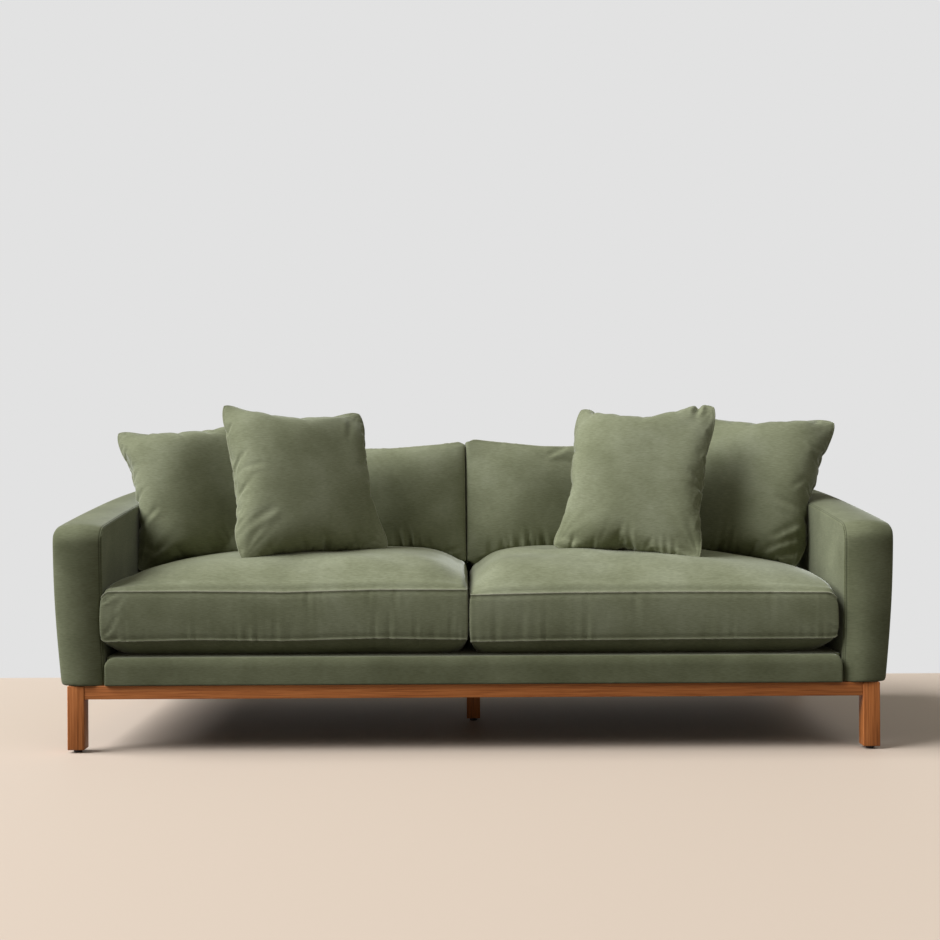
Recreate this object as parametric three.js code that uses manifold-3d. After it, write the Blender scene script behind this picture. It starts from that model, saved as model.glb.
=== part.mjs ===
// A two-seat sofa: an open hardwood base carries a timber carcass with padded velvet covers.
// Loose seat cushions, loose back cushions and four throw pillows lie in it.
// Millimetres, +Z up, the front faces -Y, and left means -X, as seen from the front.
// The origin is the centre of the footprint, on the floor.

import * as THREE from 'three';
import { mergeVertices } from 'three/addons/utils/BufferGeometryUtils.js';
import Module from 'manifold-3d';

const wasm = await Module();
wasm.setup();

// Overall size and the two values that every joint and cut shares
const sofaWidth = 2237;
const sofaDepth = 950;
const touchGap = 0.3;
const cutOverrun = 5;

// Hardwood base: square legs, rails tenoned between them, a centre stretcher with a fifth leg
const baseHeight = 179;
const legSection = 45;
const legEdgeRadius = 3;
const legInsetSide = 34.5;
const legInsetFront = 8;
const railHeight = 36;
const railThickness = 30;
const railSetback = 2;
const tenonLength = 18;
const tenonThickness = 14;
const tenonHeight = 24;
const stretcherWidth = 45;
const stretcherHeight = 30;
const stretcherTenonWidth = 25;
const stretcherTenonHeight = 16;
const stretcherTenonLength = 12;
const centreLegSection = 40;
const dowelDiameter = 16;
const dowelLength = 18;

// Nail-on glides, corner blocks and the bolts that hold the carcass to the base
const glideDiameter = 22;
const glideHeight = 8;
const glideEdge = 1.5;
const glideNailDiameter = 5;
const glideNailLength = 24;
const blockReach = 75;
const blockHeight = 30;
const blockDrop = 3;
const boltDiameter = 8;
const boltHeadDiameter = 16;
const boltHeadHeight = 5;
const boltBite = 35;
const boltInset = 11;

// Seat frame of softwood boards, zigzag springs, deck pad and bottom lining
const boardThickness = 25;
const boardHeight = 55;
const springsPerSeat = 3;
const springWire = 4;
const springSwing = 40;
const springPitch = 75;
const springEndInset = 12;
const deckThickness = 15;
const liningThickness = 1;

// Padded front panel between the arms
const apronSetback = 1;
const apronPadding = 12.7;
const apronTopDepth = 29;
const apronEdgeRadius = 8;
const apronCornerRadius = 20;

// Arms: a post at each end, a sloping top rail, and a padded cover that bulges outwards
const armWidth = 134.5;
const armOutwardBulge = 21.5;
const armInwardLean = 8;
const armFrontHeight = 605;
const armRise = 92;
const armRiseBendShare = 0.45;
const armBulgeHeight = 351;
const armCrown = 9;
const armTopRadius = 28;
const armRearRadius = 18;
const armSideRadius = 13;
const armBottomRadius = 16;
const armEndEdge = 5;
const armPadding = 15.4;
const armEndPadding = 17.7;
const armRoofPadding = 26;
const armPostDepth = 60;
const armRailThickness = 25;

// Back: three posts and a top rail in a padded cover that leans back
const backHeight = 686;
const backThickness = 130;
const backLean = 30;
const backRearPadding = 14.7;
const backTopPadding = 22;
const backEdgeRadius = 24;
const backPostWidth = 45;
const backPostDepth = 50;
const backPostInset = 16;
const backRailHeight = 25;

// Seat cushions: a border with two seams, a high crown and a belly that the deck flattens
const seatBorder = 130;
const seatBorderLift = 40;
const seatCrown = 97;
const seatBelly = 75;
const seatDrawIn = 5;
const seatPuff = 5;
const seatFrontSetback = 2;
const cushionSplit = 1;
const cushionCornerEase = 8;
const cushionCornerPower = 12;
const cushionSidePress = 4;

// Back cushions: boxed, standing on the seat cushions and leaning on the back
const backCushionHeight = 386;
const backCushionBorder = 150;
const backCushionCrown = 58;
const backCushionBelly = 34;
const backCushionDrawIn = 6;
const backCushionPuff = 5;
const backCushionLift = 634;
const backCushionStandOff = 213;
const backCushionLean = THREE.MathUtils.degToRad(8);

// Throw pillows: each has its own fill, place and turn. Their lengths are shares of the cut size, and
// their places are measured from the arm's inner face, the back's face and the seat cushion's crown.
const pillowSize = 450;
const pillowThickness = 165;
const pillowDrawInShare = 0.07;
const pillowFullness = 0.42;
const pillows = [
  {
    name: 'pillow_outer_left', side: -1, inner: false, turn: 5, lean: 21, roll: -6.4,
    bottomWidthShare: 0.871, topWidthShare: 1.004, leftHeightShare: 1.004, rightHeightShare: 0.964,
    fromArmShare: 0.342, fromBackShare: 0.673, aboveSeatShare: 0.374,
  },
  {
    name: 'pillow_inner_left', side: -1, inner: true, turn: 22, lean: 29, roll: -1.8,
    bottomWidthShare: 0.956, topWidthShare: 0.889, leftHeightShare: 1.111, rightHeightShare: 0.996,
    fromArmShare: 1.104, fromBackShare: 0.971, aboveSeatShare: 0.458,
  },
  {
    name: 'pillow_outer_right', side: 1, inner: false, turn: -12, lean: 24, roll: 6.7,
    bottomWidthShare: 0.862, topWidthShare: 1.004, leftHeightShare: 1.018, rightHeightShare: 1.058,
    fromArmShare: 0.329, fromBackShare: 0.669, aboveSeatShare: 0.385,
  },
  {
    name: 'pillow_inner_right', side: 1, inner: true, turn: -19, lean: 28, roll: 3.4,
    bottomWidthShare: 0.951, topWidthShare: 0.893, leftHeightShare: 1.022, rightHeightShare: 1.071,
    fromArmShare: 1.133, fromBackShare: 0.984, aboveSeatShare: 0.454,
  },
];

// Heights that follow from the sizes above
const carcassBottom = baseHeight + touchGap;
const boardTop = carcassBottom + boardHeight;
const springTop = boardTop + touchGap + springWire;
const deckBottom = springTop + touchGap;
const deckTop = deckBottom + deckThickness;
const seatMiddle = deckTop + seatBorderLift + seatBorder / 2;
const seatTop = seatMiddle + seatBorder / 2 + seatCrown;
const railBottom = baseHeight - railHeight;
const liningTop = carcassBottom - touchGap;
const liningBottom = liningTop - liningThickness;
const stretcherTop = liningBottom - touchGap;
const stretcherBottom = stretcherTop - stretcherHeight;

// Places that follow from the sizes above, measured from the centre
const front = -sofaDepth / 2;
const rear = sofaDepth / 2;
const legOuterX = sofaWidth / 2 - legInsetSide;
const legInnerX = legOuterX - legSection;
const legFrontY = rear - legInsetFront;
const legBackY = legFrontY - legSection;
const sideRailOuterX = legOuterX - railSetback;
const sideRailInnerX = sideRailOuterX - railThickness;
const endRailOuterY = legFrontY - railSetback;
const endRailInnerY = endRailOuterY - railThickness;
const armInnerX = sofaWidth / 2 - armWidth;
const bodyHalfWidth = armInnerX - touchGap * 2;
const apronFrontY = front + apronSetback;
const frontBoardY = apronFrontY + apronPadding + touchGap;
const rearBoardY = rear - backRearPadding - touchGap;
const backFaceY = rear - backThickness;
const backPostFrontY = rearBoardY - backPostDepth;
const deckFrontY = apronFrontY + apronTopDepth + touchGap;
const deckRearY = backPostFrontY - touchGap;
const postInnerX = armInnerX + armPadding + touchGap;
const postOuterX = sofaWidth / 2 - armOutwardBulge - armPadding - touchGap;
const postEndY = rear - armEndPadding - touchGap;
const boltX = legInnerX - boltInset;
const boltY = legBackY - boltInset;

const group = new THREE.Group();
group.name = 'sofa';

// Colours and surfaces of the real materials
const finishes = {
  velvet: { color: '#6b6f58', roughness: 0.9, metalness: 0 },
  stainedWood: { color: '#864d2b', roughness: 0.5, metalness: 0 },
  frameWood: { color: '#c9a878', roughness: 0.8, metalness: 0 },
  glide: { color: '#1f1c1a', roughness: 0.5, metalness: 0 },
  steel: { color: '#8d9094', roughness: 0.4, metalness: 1 },
  lining: { color: '#26262a', roughness: 0.9, metalness: 0 },
};

// A solid from points and triangles, turned the right way out if need be
function solidFrom(points, triangles) {
  let volume = 0;
  for (const [a, b, c] of triangles) {
    volume += points[a].dot(new THREE.Vector3().crossVectors(points[b], points[c]));
  }
  const outward = volume > 0 ? triangles : triangles.map(([a, b, c]) => [a, c, b]);
  return new wasm.Manifold(new wasm.Mesh({
    numProp: 3,
    vertProperties: new Float32Array(points.flatMap((point) => point.toArray())),
    triVerts: new Uint32Array(outward.flat()),
  }));
}

// A solid from one of three's geometries, with its shared corners merged
function solidOf(geometry) {
  const plain = geometry.clone();
  plain.deleteAttribute('normal');
  plain.deleteAttribute('uv');
  const merged = mergeVertices(plain);
  return new wasm.Manifold(new wasm.Mesh({
    numProp: 3,
    vertProperties: new Float32Array(merged.getAttribute('position').array),
    triVerts: new Uint32Array(merged.index.array),
  }));
}

// Adds a finished piece to the sofa under its own name
function addPiece(name, solid, finish) {
  const mesh = solid.getMesh();
  const geometry = new THREE.BufferGeometry();
  geometry.setAttribute('position', new THREE.BufferAttribute(mesh.vertProperties, mesh.numProp));
  geometry.setIndex(new THREE.BufferAttribute(mesh.triVerts, 1));
  geometry.computeVertexNormals();
  const piece = new THREE.Mesh(geometry, new THREE.MeshStandardMaterial(finishes[finish]));
  piece.name = name;
  group.add(piece);
}

// A square block between two corners
function block(xs, ys, zs) {
  const [x0, x1] = [Math.min(...xs), Math.max(...xs)];
  const [y0, y1] = [Math.min(...ys), Math.max(...ys)];
  const [z0, z1] = [Math.min(...zs), Math.max(...zs)];
  const box = new THREE.BoxGeometry(x1 - x0, y1 - y0, z1 - z0);
  return solidOf(box.translate((x0 + x1) / 2, (y0 + y1) / 2, (z0 + z1) / 2));
}

// An upright prism over an outline in plan
function uprightPrism(outline, z0, z1) {
  const shape = outline instanceof THREE.Shape ? outline : new THREE.Shape(outline);
  const options = { depth: z1 - z0, bevelEnabled: false, curveSegments: 3 };
  return solidOf(new THREE.ExtrudeGeometry(shape, options).translate(0, 0, z0));
}

// A prism across the sofa over a side-view outline, given as [y, z] points
function crossPrism(outline, x0, x1) {
  const shape = new THREE.Shape(outline.map(([y, z]) => new THREE.Vector2(y, z)));
  const geometry = new THREE.ExtrudeGeometry(shape, { depth: x1 - x0, bevelEnabled: false });
  const turn = new THREE.Matrix4().makeBasis(
    new THREE.Vector3(0, 1, 0), new THREE.Vector3(0, 0, 1), new THREE.Vector3(1, 0, 0),
  );
  return solidOf(geometry.applyMatrix4(turn).translate(x0, 0, 0));
}

// A turned piece from a profile of [radius, z] points that starts and ends on the axis
function turned(profile, sides, x, y) {
  const points = profile.map(([radius, z]) => new THREE.Vector2(radius, z));
  const lathe = new THREE.LatheGeometry(points, sides).rotateX(Math.PI / 2);
  return solidOf(lathe.translate(x, y, 0));
}

// A rod with an upright axis
function rod(radius, x, y, z0, z1) {
  return turned([[0, z0], [radius, z0], [radius, z1], [0, z1]], 12, x, y);
}

// A skin over a stack of rings with equal numbers of points, closed at both ends
function loft(rings) {
  const size = rings[0].length;
  const points = rings.flat();
  const triangles = [];
  for (let r = 0; r + 1 < rings.length; r += 1) {
    for (let i = 0; i < size; i += 1) {
      const a = r * size + i;
      const b = r * size + (i + 1) % size;
      triangles.push([a, b, b + size], [a, b + size, a + size]);
    }
  }
  for (const end of [0, rings.length - 1]) {
    const middle = new THREE.Vector3();
    rings[end].forEach((point) => middle.add(point));
    points.push(middle.divideScalar(size));
    const hub = points.length - 1;
    for (let i = 0; i < size; i += 1) {
      const a = end * size + i;
      const b = end * size + (i + 1) % size;
      triangles.push(end === 0 ? [hub, b, a] : [hub, a, b]);
    }
  }
  return solidFrom(points, triangles);
}

// Points of a quarter bend from one compass angle to another, in degrees
function bend([cy, cz], radius, from, to, steps) {
  return Array.from({ length: steps + 1 }, (unused, i) => {
    const angle = THREE.MathUtils.degToRad(from + (to - from) * i / steps);
    return [cy + radius * Math.cos(angle), cz + radius * Math.sin(angle)];
  });
}

// Cuts a piece back from its neighbour, which is first shifted towards the piece
function clearOf(solid, neighbour, towards) {
  return solid.subtract(neighbour).subtract(neighbour.translate(towards));
}

// The largest body of a cut, so that no sliver is left beside it
function mainBody(solid) {
  const bodies = solid.decompose();
  return bodies.reduce((best, body) => (body.volume() > best.volume() ? body : best));
}

// Hardwood base

// A tenon or, grown by the fit, its mortise, centred on its rail
function tenonBlock(along, from, length, across, height, grow) {
  const [c, w] = across;
  const [z, h] = height;
  const reach = [from - Math.sign(length) * cutOverrun, from + length + Math.sign(length) * grow];
  const width = [c - w / 2 - grow, c + w / 2 + grow];
  const level = [z - h / 2 - grow, z + h / 2 + grow];
  return along === 'x' ? block(reach, width, level) : block(width, reach, level);
}

const railMiddleZ = baseHeight - railHeight / 2;
const endRailMiddleY = (endRailOuterY + endRailInnerY) / 2;
const sideRailMiddleX = (sideRailOuterX + sideRailInnerX) / 2;
const railEndX = legInnerX - touchGap;
const railEndY = legBackY - touchGap;

function glideSolid(x, y) {
  const radius = glideDiameter / 2;
  const nail = glideNailDiameter / 2;
  return turned([
    [0, 0], [radius - glideEdge, 0], [radius, glideEdge], [radius, glideHeight - touchGap],
    [nail, glideHeight - touchGap], [nail, glideHeight + glideNailLength],
    [0, glideHeight + glideNailLength],
  ], 16, x, y);
}

function nailHole(x, y) {
  const top = glideHeight + glideNailLength + touchGap;
  return rod(glideNailDiameter / 2 + touchGap, x, y, glideHeight - cutOverrun, top);
}

// A square post with eased upright edges
function legPost(x, y, section, top) {
  const half = section / 2;
  const outline = new THREE.Shape();
  const corners = [[1, -1], [1, 1], [-1, 1], [-1, -1]];
  corners.forEach(([sx, sy], i) => {
    const start = -Math.PI / 2 + i * Math.PI / 2;
    const cx = x + sx * (half - legEdgeRadius);
    const cy = y + sy * (half - legEdgeRadius);
    outline.absarc(cx, cy, legEdgeRadius, start, start + Math.PI / 2, false);
  });
  return uprightPrism(outline, glideHeight, top);
}

for (const [endName, ySide] of [['front', -1], ['back', 1]]) {
  for (const [sideName, xSide] of [['left', -1], ['right', 1]]) {
    const x = xSide * (legOuterX + legInnerX) / 2;
    const y = ySide * (legFrontY + legBackY) / 2;
    const endMortise = tenonBlock(
      'x', xSide * railEndX, xSide * tenonLength,
      [ySide * endRailMiddleY, tenonThickness], [railMiddleZ, tenonHeight], touchGap,
    );
    const sideMortise = tenonBlock(
      'y', ySide * railEndY, ySide * tenonLength,
      [xSide * sideRailMiddleX, tenonThickness], [railMiddleZ, tenonHeight], touchGap,
    );
    const leg = legPost(x, y, legSection, baseHeight)
      .subtract(nailHole(x, y)).subtract(endMortise).subtract(sideMortise);
    addPiece(`leg_${endName}_${sideName}`, leg, 'stainedWood');
    addPiece(`glide_${endName}_${sideName}`, glideSolid(x, y), 'glide');
  }
}

// Centre leg with a turned stub that plugs into the stretcher
const dowelHole = rod(
  dowelDiameter / 2 + touchGap, 0, 0, stretcherBottom - cutOverrun,
  stretcherBottom + dowelLength + touchGap,
);
const centreLegTop = stretcherBottom - touchGap;
const centreLeg = legPost(0, 0, centreLegSection, centreLegTop)
  .add(rod(dowelDiameter / 2, 0, 0, centreLegTop - cutOverrun, stretcherBottom + dowelLength))
  .subtract(nailHole(0, 0));
addPiece('leg_centre', centreLeg, 'stainedWood');
addPiece('glide_centre', glideSolid(0, 0), 'glide');

// Long rails at the front and back, with mortises for the stretcher
const stretcherMiddleZ = (stretcherTop + stretcherBottom) / 2;
const stretcherEndY = endRailInnerY - touchGap;
for (const [endName, ySide] of [['front', -1], ['back', 1]]) {
  const ys = [ySide * endRailOuterY, ySide * endRailInnerY];
  const ends = [-1, 1].map((xSide) => tenonBlock(
    'x', xSide * railEndX, xSide * tenonLength,
    [ySide * endRailMiddleY, tenonThickness], [railMiddleZ, tenonHeight], 0,
  ));
  const stretcherMortise = tenonBlock(
    'y', ySide * stretcherEndY, ySide * stretcherTenonLength,
    [0, stretcherTenonWidth], [stretcherMiddleZ, stretcherTenonHeight], touchGap,
  );
  const rail = block([-railEndX, railEndX], ys, [railBottom, baseHeight])
    .add(ends[0]).add(ends[1]).subtract(stretcherMortise);
  addPiece(`rail_${endName}`, rail, 'stainedWood');
}

// Short rails at the sides
for (const [sideName, xSide] of [['left', -1], ['right', 1]]) {
  const xs = [xSide * sideRailOuterX, xSide * sideRailInnerX];
  const ends = [-1, 1].map((ySide) => tenonBlock(
    'y', ySide * railEndY, ySide * tenonLength,
    [xSide * sideRailMiddleX, tenonThickness], [railMiddleZ, tenonHeight], 0,
  ));
  const rail = block(xs, [-railEndY, railEndY], [railBottom, baseHeight]).add(ends[0]).add(ends[1]);
  addPiece(`rail_${sideName}`, rail, 'stainedWood');
}

// Stretcher from front to back
const stretcherEnds = [-1, 1].map((ySide) => tenonBlock(
  'y', ySide * stretcherEndY, ySide * stretcherTenonLength,
  [0, stretcherTenonWidth], [stretcherMiddleZ, stretcherTenonHeight], 0,
));
const stretcher = block(
  [-stretcherWidth / 2, stretcherWidth / 2], [-stretcherEndY, stretcherEndY],
  [stretcherBottom, stretcherTop],
).add(stretcherEnds[0]).add(stretcherEnds[1]).subtract(dowelHole);
addPiece('stretcher_centre', stretcher, 'stainedWood');

// Glued corner blocks, and the bolts that pass up through them into the arm posts
const blockTop = liningBottom - blockDrop;
const blockBottom = blockTop - blockHeight;
for (const [endName, ySide] of [['front', -1], ['back', 1]]) {
  for (const [sideName, xSide] of [['left', -1], ['right', 1]]) {
    const innerX = sideRailInnerX - touchGap;
    const innerY = endRailInnerY - touchGap;
    const clearX = legInnerX - touchGap;
    const clearY = legBackY - touchGap;
    const outline = [
      [innerX, clearY], [innerX, clearY - blockReach], [clearX - blockReach, innerY],
      [clearX, innerY], [clearX, clearY],
    ].map(([x, y]) => new THREE.Vector2(xSide * x, ySide * y));
    if (xSide * ySide > 0) outline.reverse();
    const x = xSide * boltX;
    const y = ySide * boltY;
    const hole = rod(boltDiameter / 2 + touchGap, x, y, blockBottom - cutOverrun, blockTop + cutOverrun);
    const cornerBlock = uprightPrism(outline, blockBottom, blockTop).subtract(hole);
    addPiece(`corner_block_${endName}_${sideName}`, cornerBlock, 'frameWood');
    const headTop = blockBottom - touchGap;
    const bolt = turned([
      [0, headTop - boltHeadHeight], [boltHeadDiameter / 2, headTop - boltHeadHeight],
      [boltHeadDiameter / 2, headTop], [boltDiameter / 2, headTop],
      [boltDiameter / 2, carcassBottom + boltBite], [0, carcassBottom + boltBite],
    ], 12, x, y);
    addPiece(`bolt_${endName}_${sideName}`, bolt, 'steel');
  }
}

// Seat frame

const boardZs = [carcassBottom, boardTop];
const frontBoardYs = [frontBoardY, frontBoardY + boardThickness];
const rearBoardYs = [rearBoardY - boardThickness, rearBoardY];
const betweenBoards = [frontBoardYs[1] + touchGap, rearBoardYs[0] - touchGap];
const sideBoardXs = [bodyHalfWidth - boardThickness, bodyHalfWidth];
addPiece('seat_frame_front', block([-bodyHalfWidth, bodyHalfWidth], frontBoardYs, boardZs), 'frameWood');
addPiece('seat_frame_back', block([-bodyHalfWidth, bodyHalfWidth], rearBoardYs, boardZs), 'frameWood');
addPiece('seat_frame_left', block(sideBoardXs.map((x) => -x), betweenBoards, boardZs), 'frameWood');
addPiece('seat_frame_right', block(sideBoardXs, betweenBoards, boardZs), 'frameWood');
const centreBoardXs = [-boardThickness / 2, boardThickness / 2];
addPiece('seat_frame_centre', block(centreBoardXs, betweenBoards, boardZs), 'frameWood');

// Bottom lining stapled under the frame, cut out round the legs and the bolts
const liningHalfX = sideRailInnerX - touchGap;
const liningHalfY = endRailInnerY - touchGap;
let lining = block([-liningHalfX, liningHalfX], [-liningHalfY, liningHalfY], [liningBottom, liningTop]);
for (const xSide of [-1, 1]) {
  for (const ySide of [-1, 1]) {
    const legCut = block(
      [xSide * (legInnerX - touchGap), xSide * legOuterX],
      [ySide * (legBackY - touchGap), ySide * legFrontY], [liningBottom - cutOverrun, carcassBottom],
    );
    const boltCut = rod(
      boltDiameter / 2 + touchGap, xSide * boltX, ySide * boltY,
      liningBottom - cutOverrun, carcassBottom,
    );
    lining = lining.subtract(legCut).subtract(boltCut);
  }
}
addPiece('bottom_lining', lining, 'lining');

// Zigzag springs from the front board to the back board
const springZ = boardTop + touchGap + springWire / 2;
const springStartY = frontBoardYs[0] + springEndInset;
const springEndY = rearBoardYs[1] - springEndInset;
const springTurns = Math.round((springEndY - springStartY) / springPitch);
const springStep = sideBoardXs[0] / (springsPerSeat + 1 / 2);
function springSolid(x) {
  const steps = springTurns * 4;
  const points = Array.from({ length: steps + 1 }, (unused, i) => {
    const y = THREE.MathUtils.lerp(springStartY, springEndY, i / steps);
    return new THREE.Vector3(x + springSwing / 2 * Math.sin(i * Math.PI / 2), y, springZ);
  });
  const path = new THREE.CatmullRomCurve3(points);
  const wire = new THREE.Shape().absarc(0, 0, springWire / 2, 0, 2 * Math.PI, false);
  const options = { extrudePath: path, steps, curveSegments: 2, bevelEnabled: false };
  return solidOf(new THREE.ExtrudeGeometry(wire, options));
}
for (const [sideName, xSide] of [['left', -1], ['right', 1]]) {
  for (let i = 0; i < springsPerSeat; i += 1) {
    addPiece(`spring_${sideName}_${i + 1}`, springSolid(xSide * springStep * (i + 3 / 4)), 'steel');
  }
}

// Deck pad on the springs
const deck = block([-bodyHalfWidth, bodyHalfWidth], [deckFrontY, deckRearY], [deckBottom, deckTop]);
addPiece('seat_deck', deck, 'velvet');

// Padded front panel, wrapped over the top of the front board
const apronShape = new THREE.Shape();
const apronHalf = bodyHalfWidth - apronEdgeRadius;
const apronBase = carcassBottom + apronEdgeRadius;
const apronTop = deckTop - apronEdgeRadius;
apronShape.moveTo(-apronHalf, apronBase);
apronShape.lineTo(apronHalf, apronBase);
apronShape.absarc(apronHalf - apronCornerRadius, apronTop - apronCornerRadius, apronCornerRadius,
  0, Math.PI / 2, false);
apronShape.absarc(-apronHalf + apronCornerRadius, apronTop - apronCornerRadius, apronCornerRadius,
  Math.PI / 2, Math.PI, false);
const apronBody = new THREE.ExtrudeGeometry(apronShape, {
  depth: apronTopDepth, curveSegments: 4, bevelThickness: apronEdgeRadius, bevelSize: apronEdgeRadius,
  bevelSegments: 3,
}).rotateX(Math.PI / 2).translate(0, apronFrontY + apronEdgeRadius + apronTopDepth, 0);
const apronPocket = block(
  [-sofaWidth / 2, sofaWidth / 2], [frontBoardY - touchGap, 0], [carcassBottom - cutOverrun, deckBottom],
);
const apronTail = block(
  [-sofaWidth / 2, sofaWidth / 2], [apronFrontY + apronTopDepth, 0], [0, armFrontHeight],
);
addPiece('apron_cover', solidOf(apronBody).subtract(apronPocket).subtract(apronTail), 'velvet');

// Arms

// Height of an arm's crown at a distance behind the front
function armHeightAt(behind) {
  const t = behind / sofaDepth;
  return armFrontHeight + armRise * t * (1 + armRiseBendShare - armRiseBendShare * t);
}

// Side-view top of the arm, with its front and rear corners rounded
function armTopAt(behind) {
  const fromFront = Math.max(0, armTopRadius - behind);
  const fromRear = Math.max(0, armRearRadius - (sofaDepth - behind));
  const frontDrop = armTopRadius - Math.sqrt(armTopRadius ** 2 - fromFront ** 2);
  const rearDrop = armRearRadius - Math.sqrt(armRearRadius ** 2 - fromRear ** 2);
  return armHeightAt(behind) - frontDrop - rearDrop;
}

// Outer face of the arm: in at the bottom, full at the bulge
function armOuterAt(z) {
  const t = Math.min(1, (z - carcassBottom) / armBulgeHeight);
  return sofaWidth / 2 - armOutwardBulge * (1 - Math.sin(t * Math.PI / 2));
}

const riseLevelShares = [0, 0.5, 1];
const fallLevelShares = [1, 0.8, 0.6, 0.4, 0.2, 0];

// One cross-section of the arm, drawn in all round by an inset
function armRing(behind, inset, side) {
  const top = armTopAt(behind) - inset;
  const shoulder = top - armCrown - armSideRadius;
  const inner = (z) => armInnerX + inset
    + armInwardLean * (z - carcassBottom) / (armFrontHeight - carcassBottom);
  const outer = (z) => armOuterAt(z) - inset;
  const points = [];
  for (const share of riseLevelShares) {
    const z = THREE.MathUtils.lerp(carcassBottom, shoulder, share);
    points.push([inner(z), z]);
  }
  const innerTurn = bend([inner(shoulder) + armSideRadius, shoulder], armSideRadius, 180, 90, 3);
  const outerTurn = bend([outer(shoulder) - armSideRadius, shoulder], armSideRadius, 90, 0, 3);
  const middle = (inner(shoulder) + outer(shoulder)) / 2;
  points.push(...innerTurn.slice(1), [middle, top], ...outerTurn.slice(0, -1));
  const hem = carcassBottom + armBottomRadius;
  for (const share of fallLevelShares) {
    const z = THREE.MathUtils.lerp(hem, shoulder, share);
    points.push([outer(z), z]);
  }
  points.push(...bend([outer(hem) - armBottomRadius, hem], armBottomRadius, 0, -90, 3).slice(1));
  return points.map(([x, z]) => new THREE.Vector3(side * x, front + behind, z));
}

// Where the arm's cross-sections stand: on the front corner, along the run, on the rear corner
const armCornerShares = [0.02, 0.12, 0.3, 0.6, 1];
const armRunShares = [0.12, 0.28, 0.45, 0.63, 0.82, 1];
const armRearShares = [0.5, 0.85, 1];

const armCovers = {};
for (const [sideName, xSide] of [['left', -1], ['right', 1]]) {
  const run = sofaDepth - armTopRadius - armRearRadius;
  const cornerSteps = armCornerShares.map((share) => share * armTopRadius);
  const runSteps = armRunShares.map((share) => armTopRadius + share * run);
  const rearSteps = armRearShares.map((share) => sofaDepth - armRearRadius * (1 - share));
  const rings = [armRing(0, armEndEdge, xSide)];
  for (const behind of [...cornerSteps, ...runSteps, ...rearSteps]) {
    const edge = Math.min(behind, sofaDepth - behind);
    const inset = armEndEdge * Math.max(0, 1 - edge / armEndEdge) ** 2;
    rings.push(armRing(behind, inset, xSide));
  }
  const cover = loft(rings);

  // The hollow that the arm's frame stands in, open at the bottom
  const stations = Array.from({ length: 7 }, (unused, i) => THREE.MathUtils.lerp(postEndY, -postEndY, i / 6));
  const roofAt = (y) => armHeightAt(y - front) - armCrown - armRoofPadding;
  const hollowOutline = [
    [-postEndY - touchGap, carcassBottom - cutOverrun], [postEndY + touchGap, carcassBottom - cutOverrun],
    [postEndY + touchGap, roofAt(postEndY)], ...stations.slice(1, -1).map((y) => [y, roofAt(y)]),
    [-postEndY - touchGap, roofAt(-postEndY)],
  ];
  const xs = [xSide * postInnerX, xSide * postOuterX].sort((a, b) => a - b);
  const hollow = crossPrism(hollowOutline, xs[0] - touchGap, xs[1] + touchGap);
  armCovers[sideName] = cover.subtract(hollow);
  addPiece(`arm_cover_${sideName}`, armCovers[sideName], 'velvet');

  // The top rail follows the slope, and a post carries it at each end
  const railTopAt = (y) => roofAt(y) - touchGap;
  const railOutline = [
    ...stations.map((y) => [y, railTopAt(y)]),
    ...[...stations].reverse().map((y) => [y, railTopAt(y) - armRailThickness]),
  ].reverse();
  addPiece(`arm_rail_${sideName}`, crossPrism(railOutline, xs[0], xs[1]), 'frameWood');
  for (const [endName, ySide] of [['front', -1], ['back', 1]]) {
    const ys = [ySide * postEndY, ySide * (postEndY - armPostDepth)];
    const top = railTopAt(Math.min(...ys)) - armRailThickness - touchGap;
    const hole = rod(
      boltDiameter / 2 + touchGap, xSide * boltX, ySide * boltY,
      carcassBottom - cutOverrun, carcassBottom + boltBite + touchGap,
    );
    const post = block(xs, ys, [carcassBottom, top]).subtract(hole);
    addPiece(`arm_post_${endName}_${sideName}`, post, 'frameWood');
  }
}

// Back

// The cover's section: upright behind, leaning in front, cut away under the deck's level
const backTopFrontY = backFaceY + backLean;
const backRadiusTop = backHeight - backEdgeRadius;
const backOutline = [
  [rear, carcassBottom],
  ...bend([rear - backEdgeRadius, backRadiusTop], backEdgeRadius, 0, 90, 4),
  ...bend([backTopFrontY + backEdgeRadius, backRadiusTop], backEdgeRadius, 90, 180, 4),
  [backFaceY, deckTop + touchGap],
  [rear - backRearPadding, deckTop + touchGap],
  [rear - backRearPadding, carcassBottom],
];
const backRailTop = backHeight - backTopPadding;
const backHollow = block(
  [-bodyHalfWidth + backPostInset - touchGap, bodyHalfWidth - backPostInset + touchGap],
  [backPostFrontY - touchGap, rear - backRearPadding],
  [deckTop - cutOverrun, backRailTop + touchGap],
);
const backCover = crossPrism(backOutline, -bodyHalfWidth, bodyHalfWidth).subtract(backHollow);
addPiece('back_cover', backCover, 'velvet');

const backRailBottom = backRailTop - backRailHeight;
const backPostYs = [backPostFrontY, rearBoardY];
const backRailHalf = bodyHalfWidth - backPostInset;
const backRail = block([-backRailHalf, backRailHalf], backPostYs, [backRailBottom, backRailTop]);
addPiece('back_rail_top', backRail, 'frameWood');
const backPostCentres = {
  left: -backRailHalf + backPostWidth / 2, centre: 0, right: backRailHalf - backPostWidth / 2,
};
for (const [name, x] of Object.entries(backPostCentres)) {
  const xs = [x - backPostWidth / 2, x + backPostWidth / 2];
  const post = block(xs, backPostYs, [boardTop + touchGap, backRailBottom - touchGap]);
  addPiece(`back_post_${name}`, post, 'frameWood');
}

// Cushions and pillows

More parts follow.
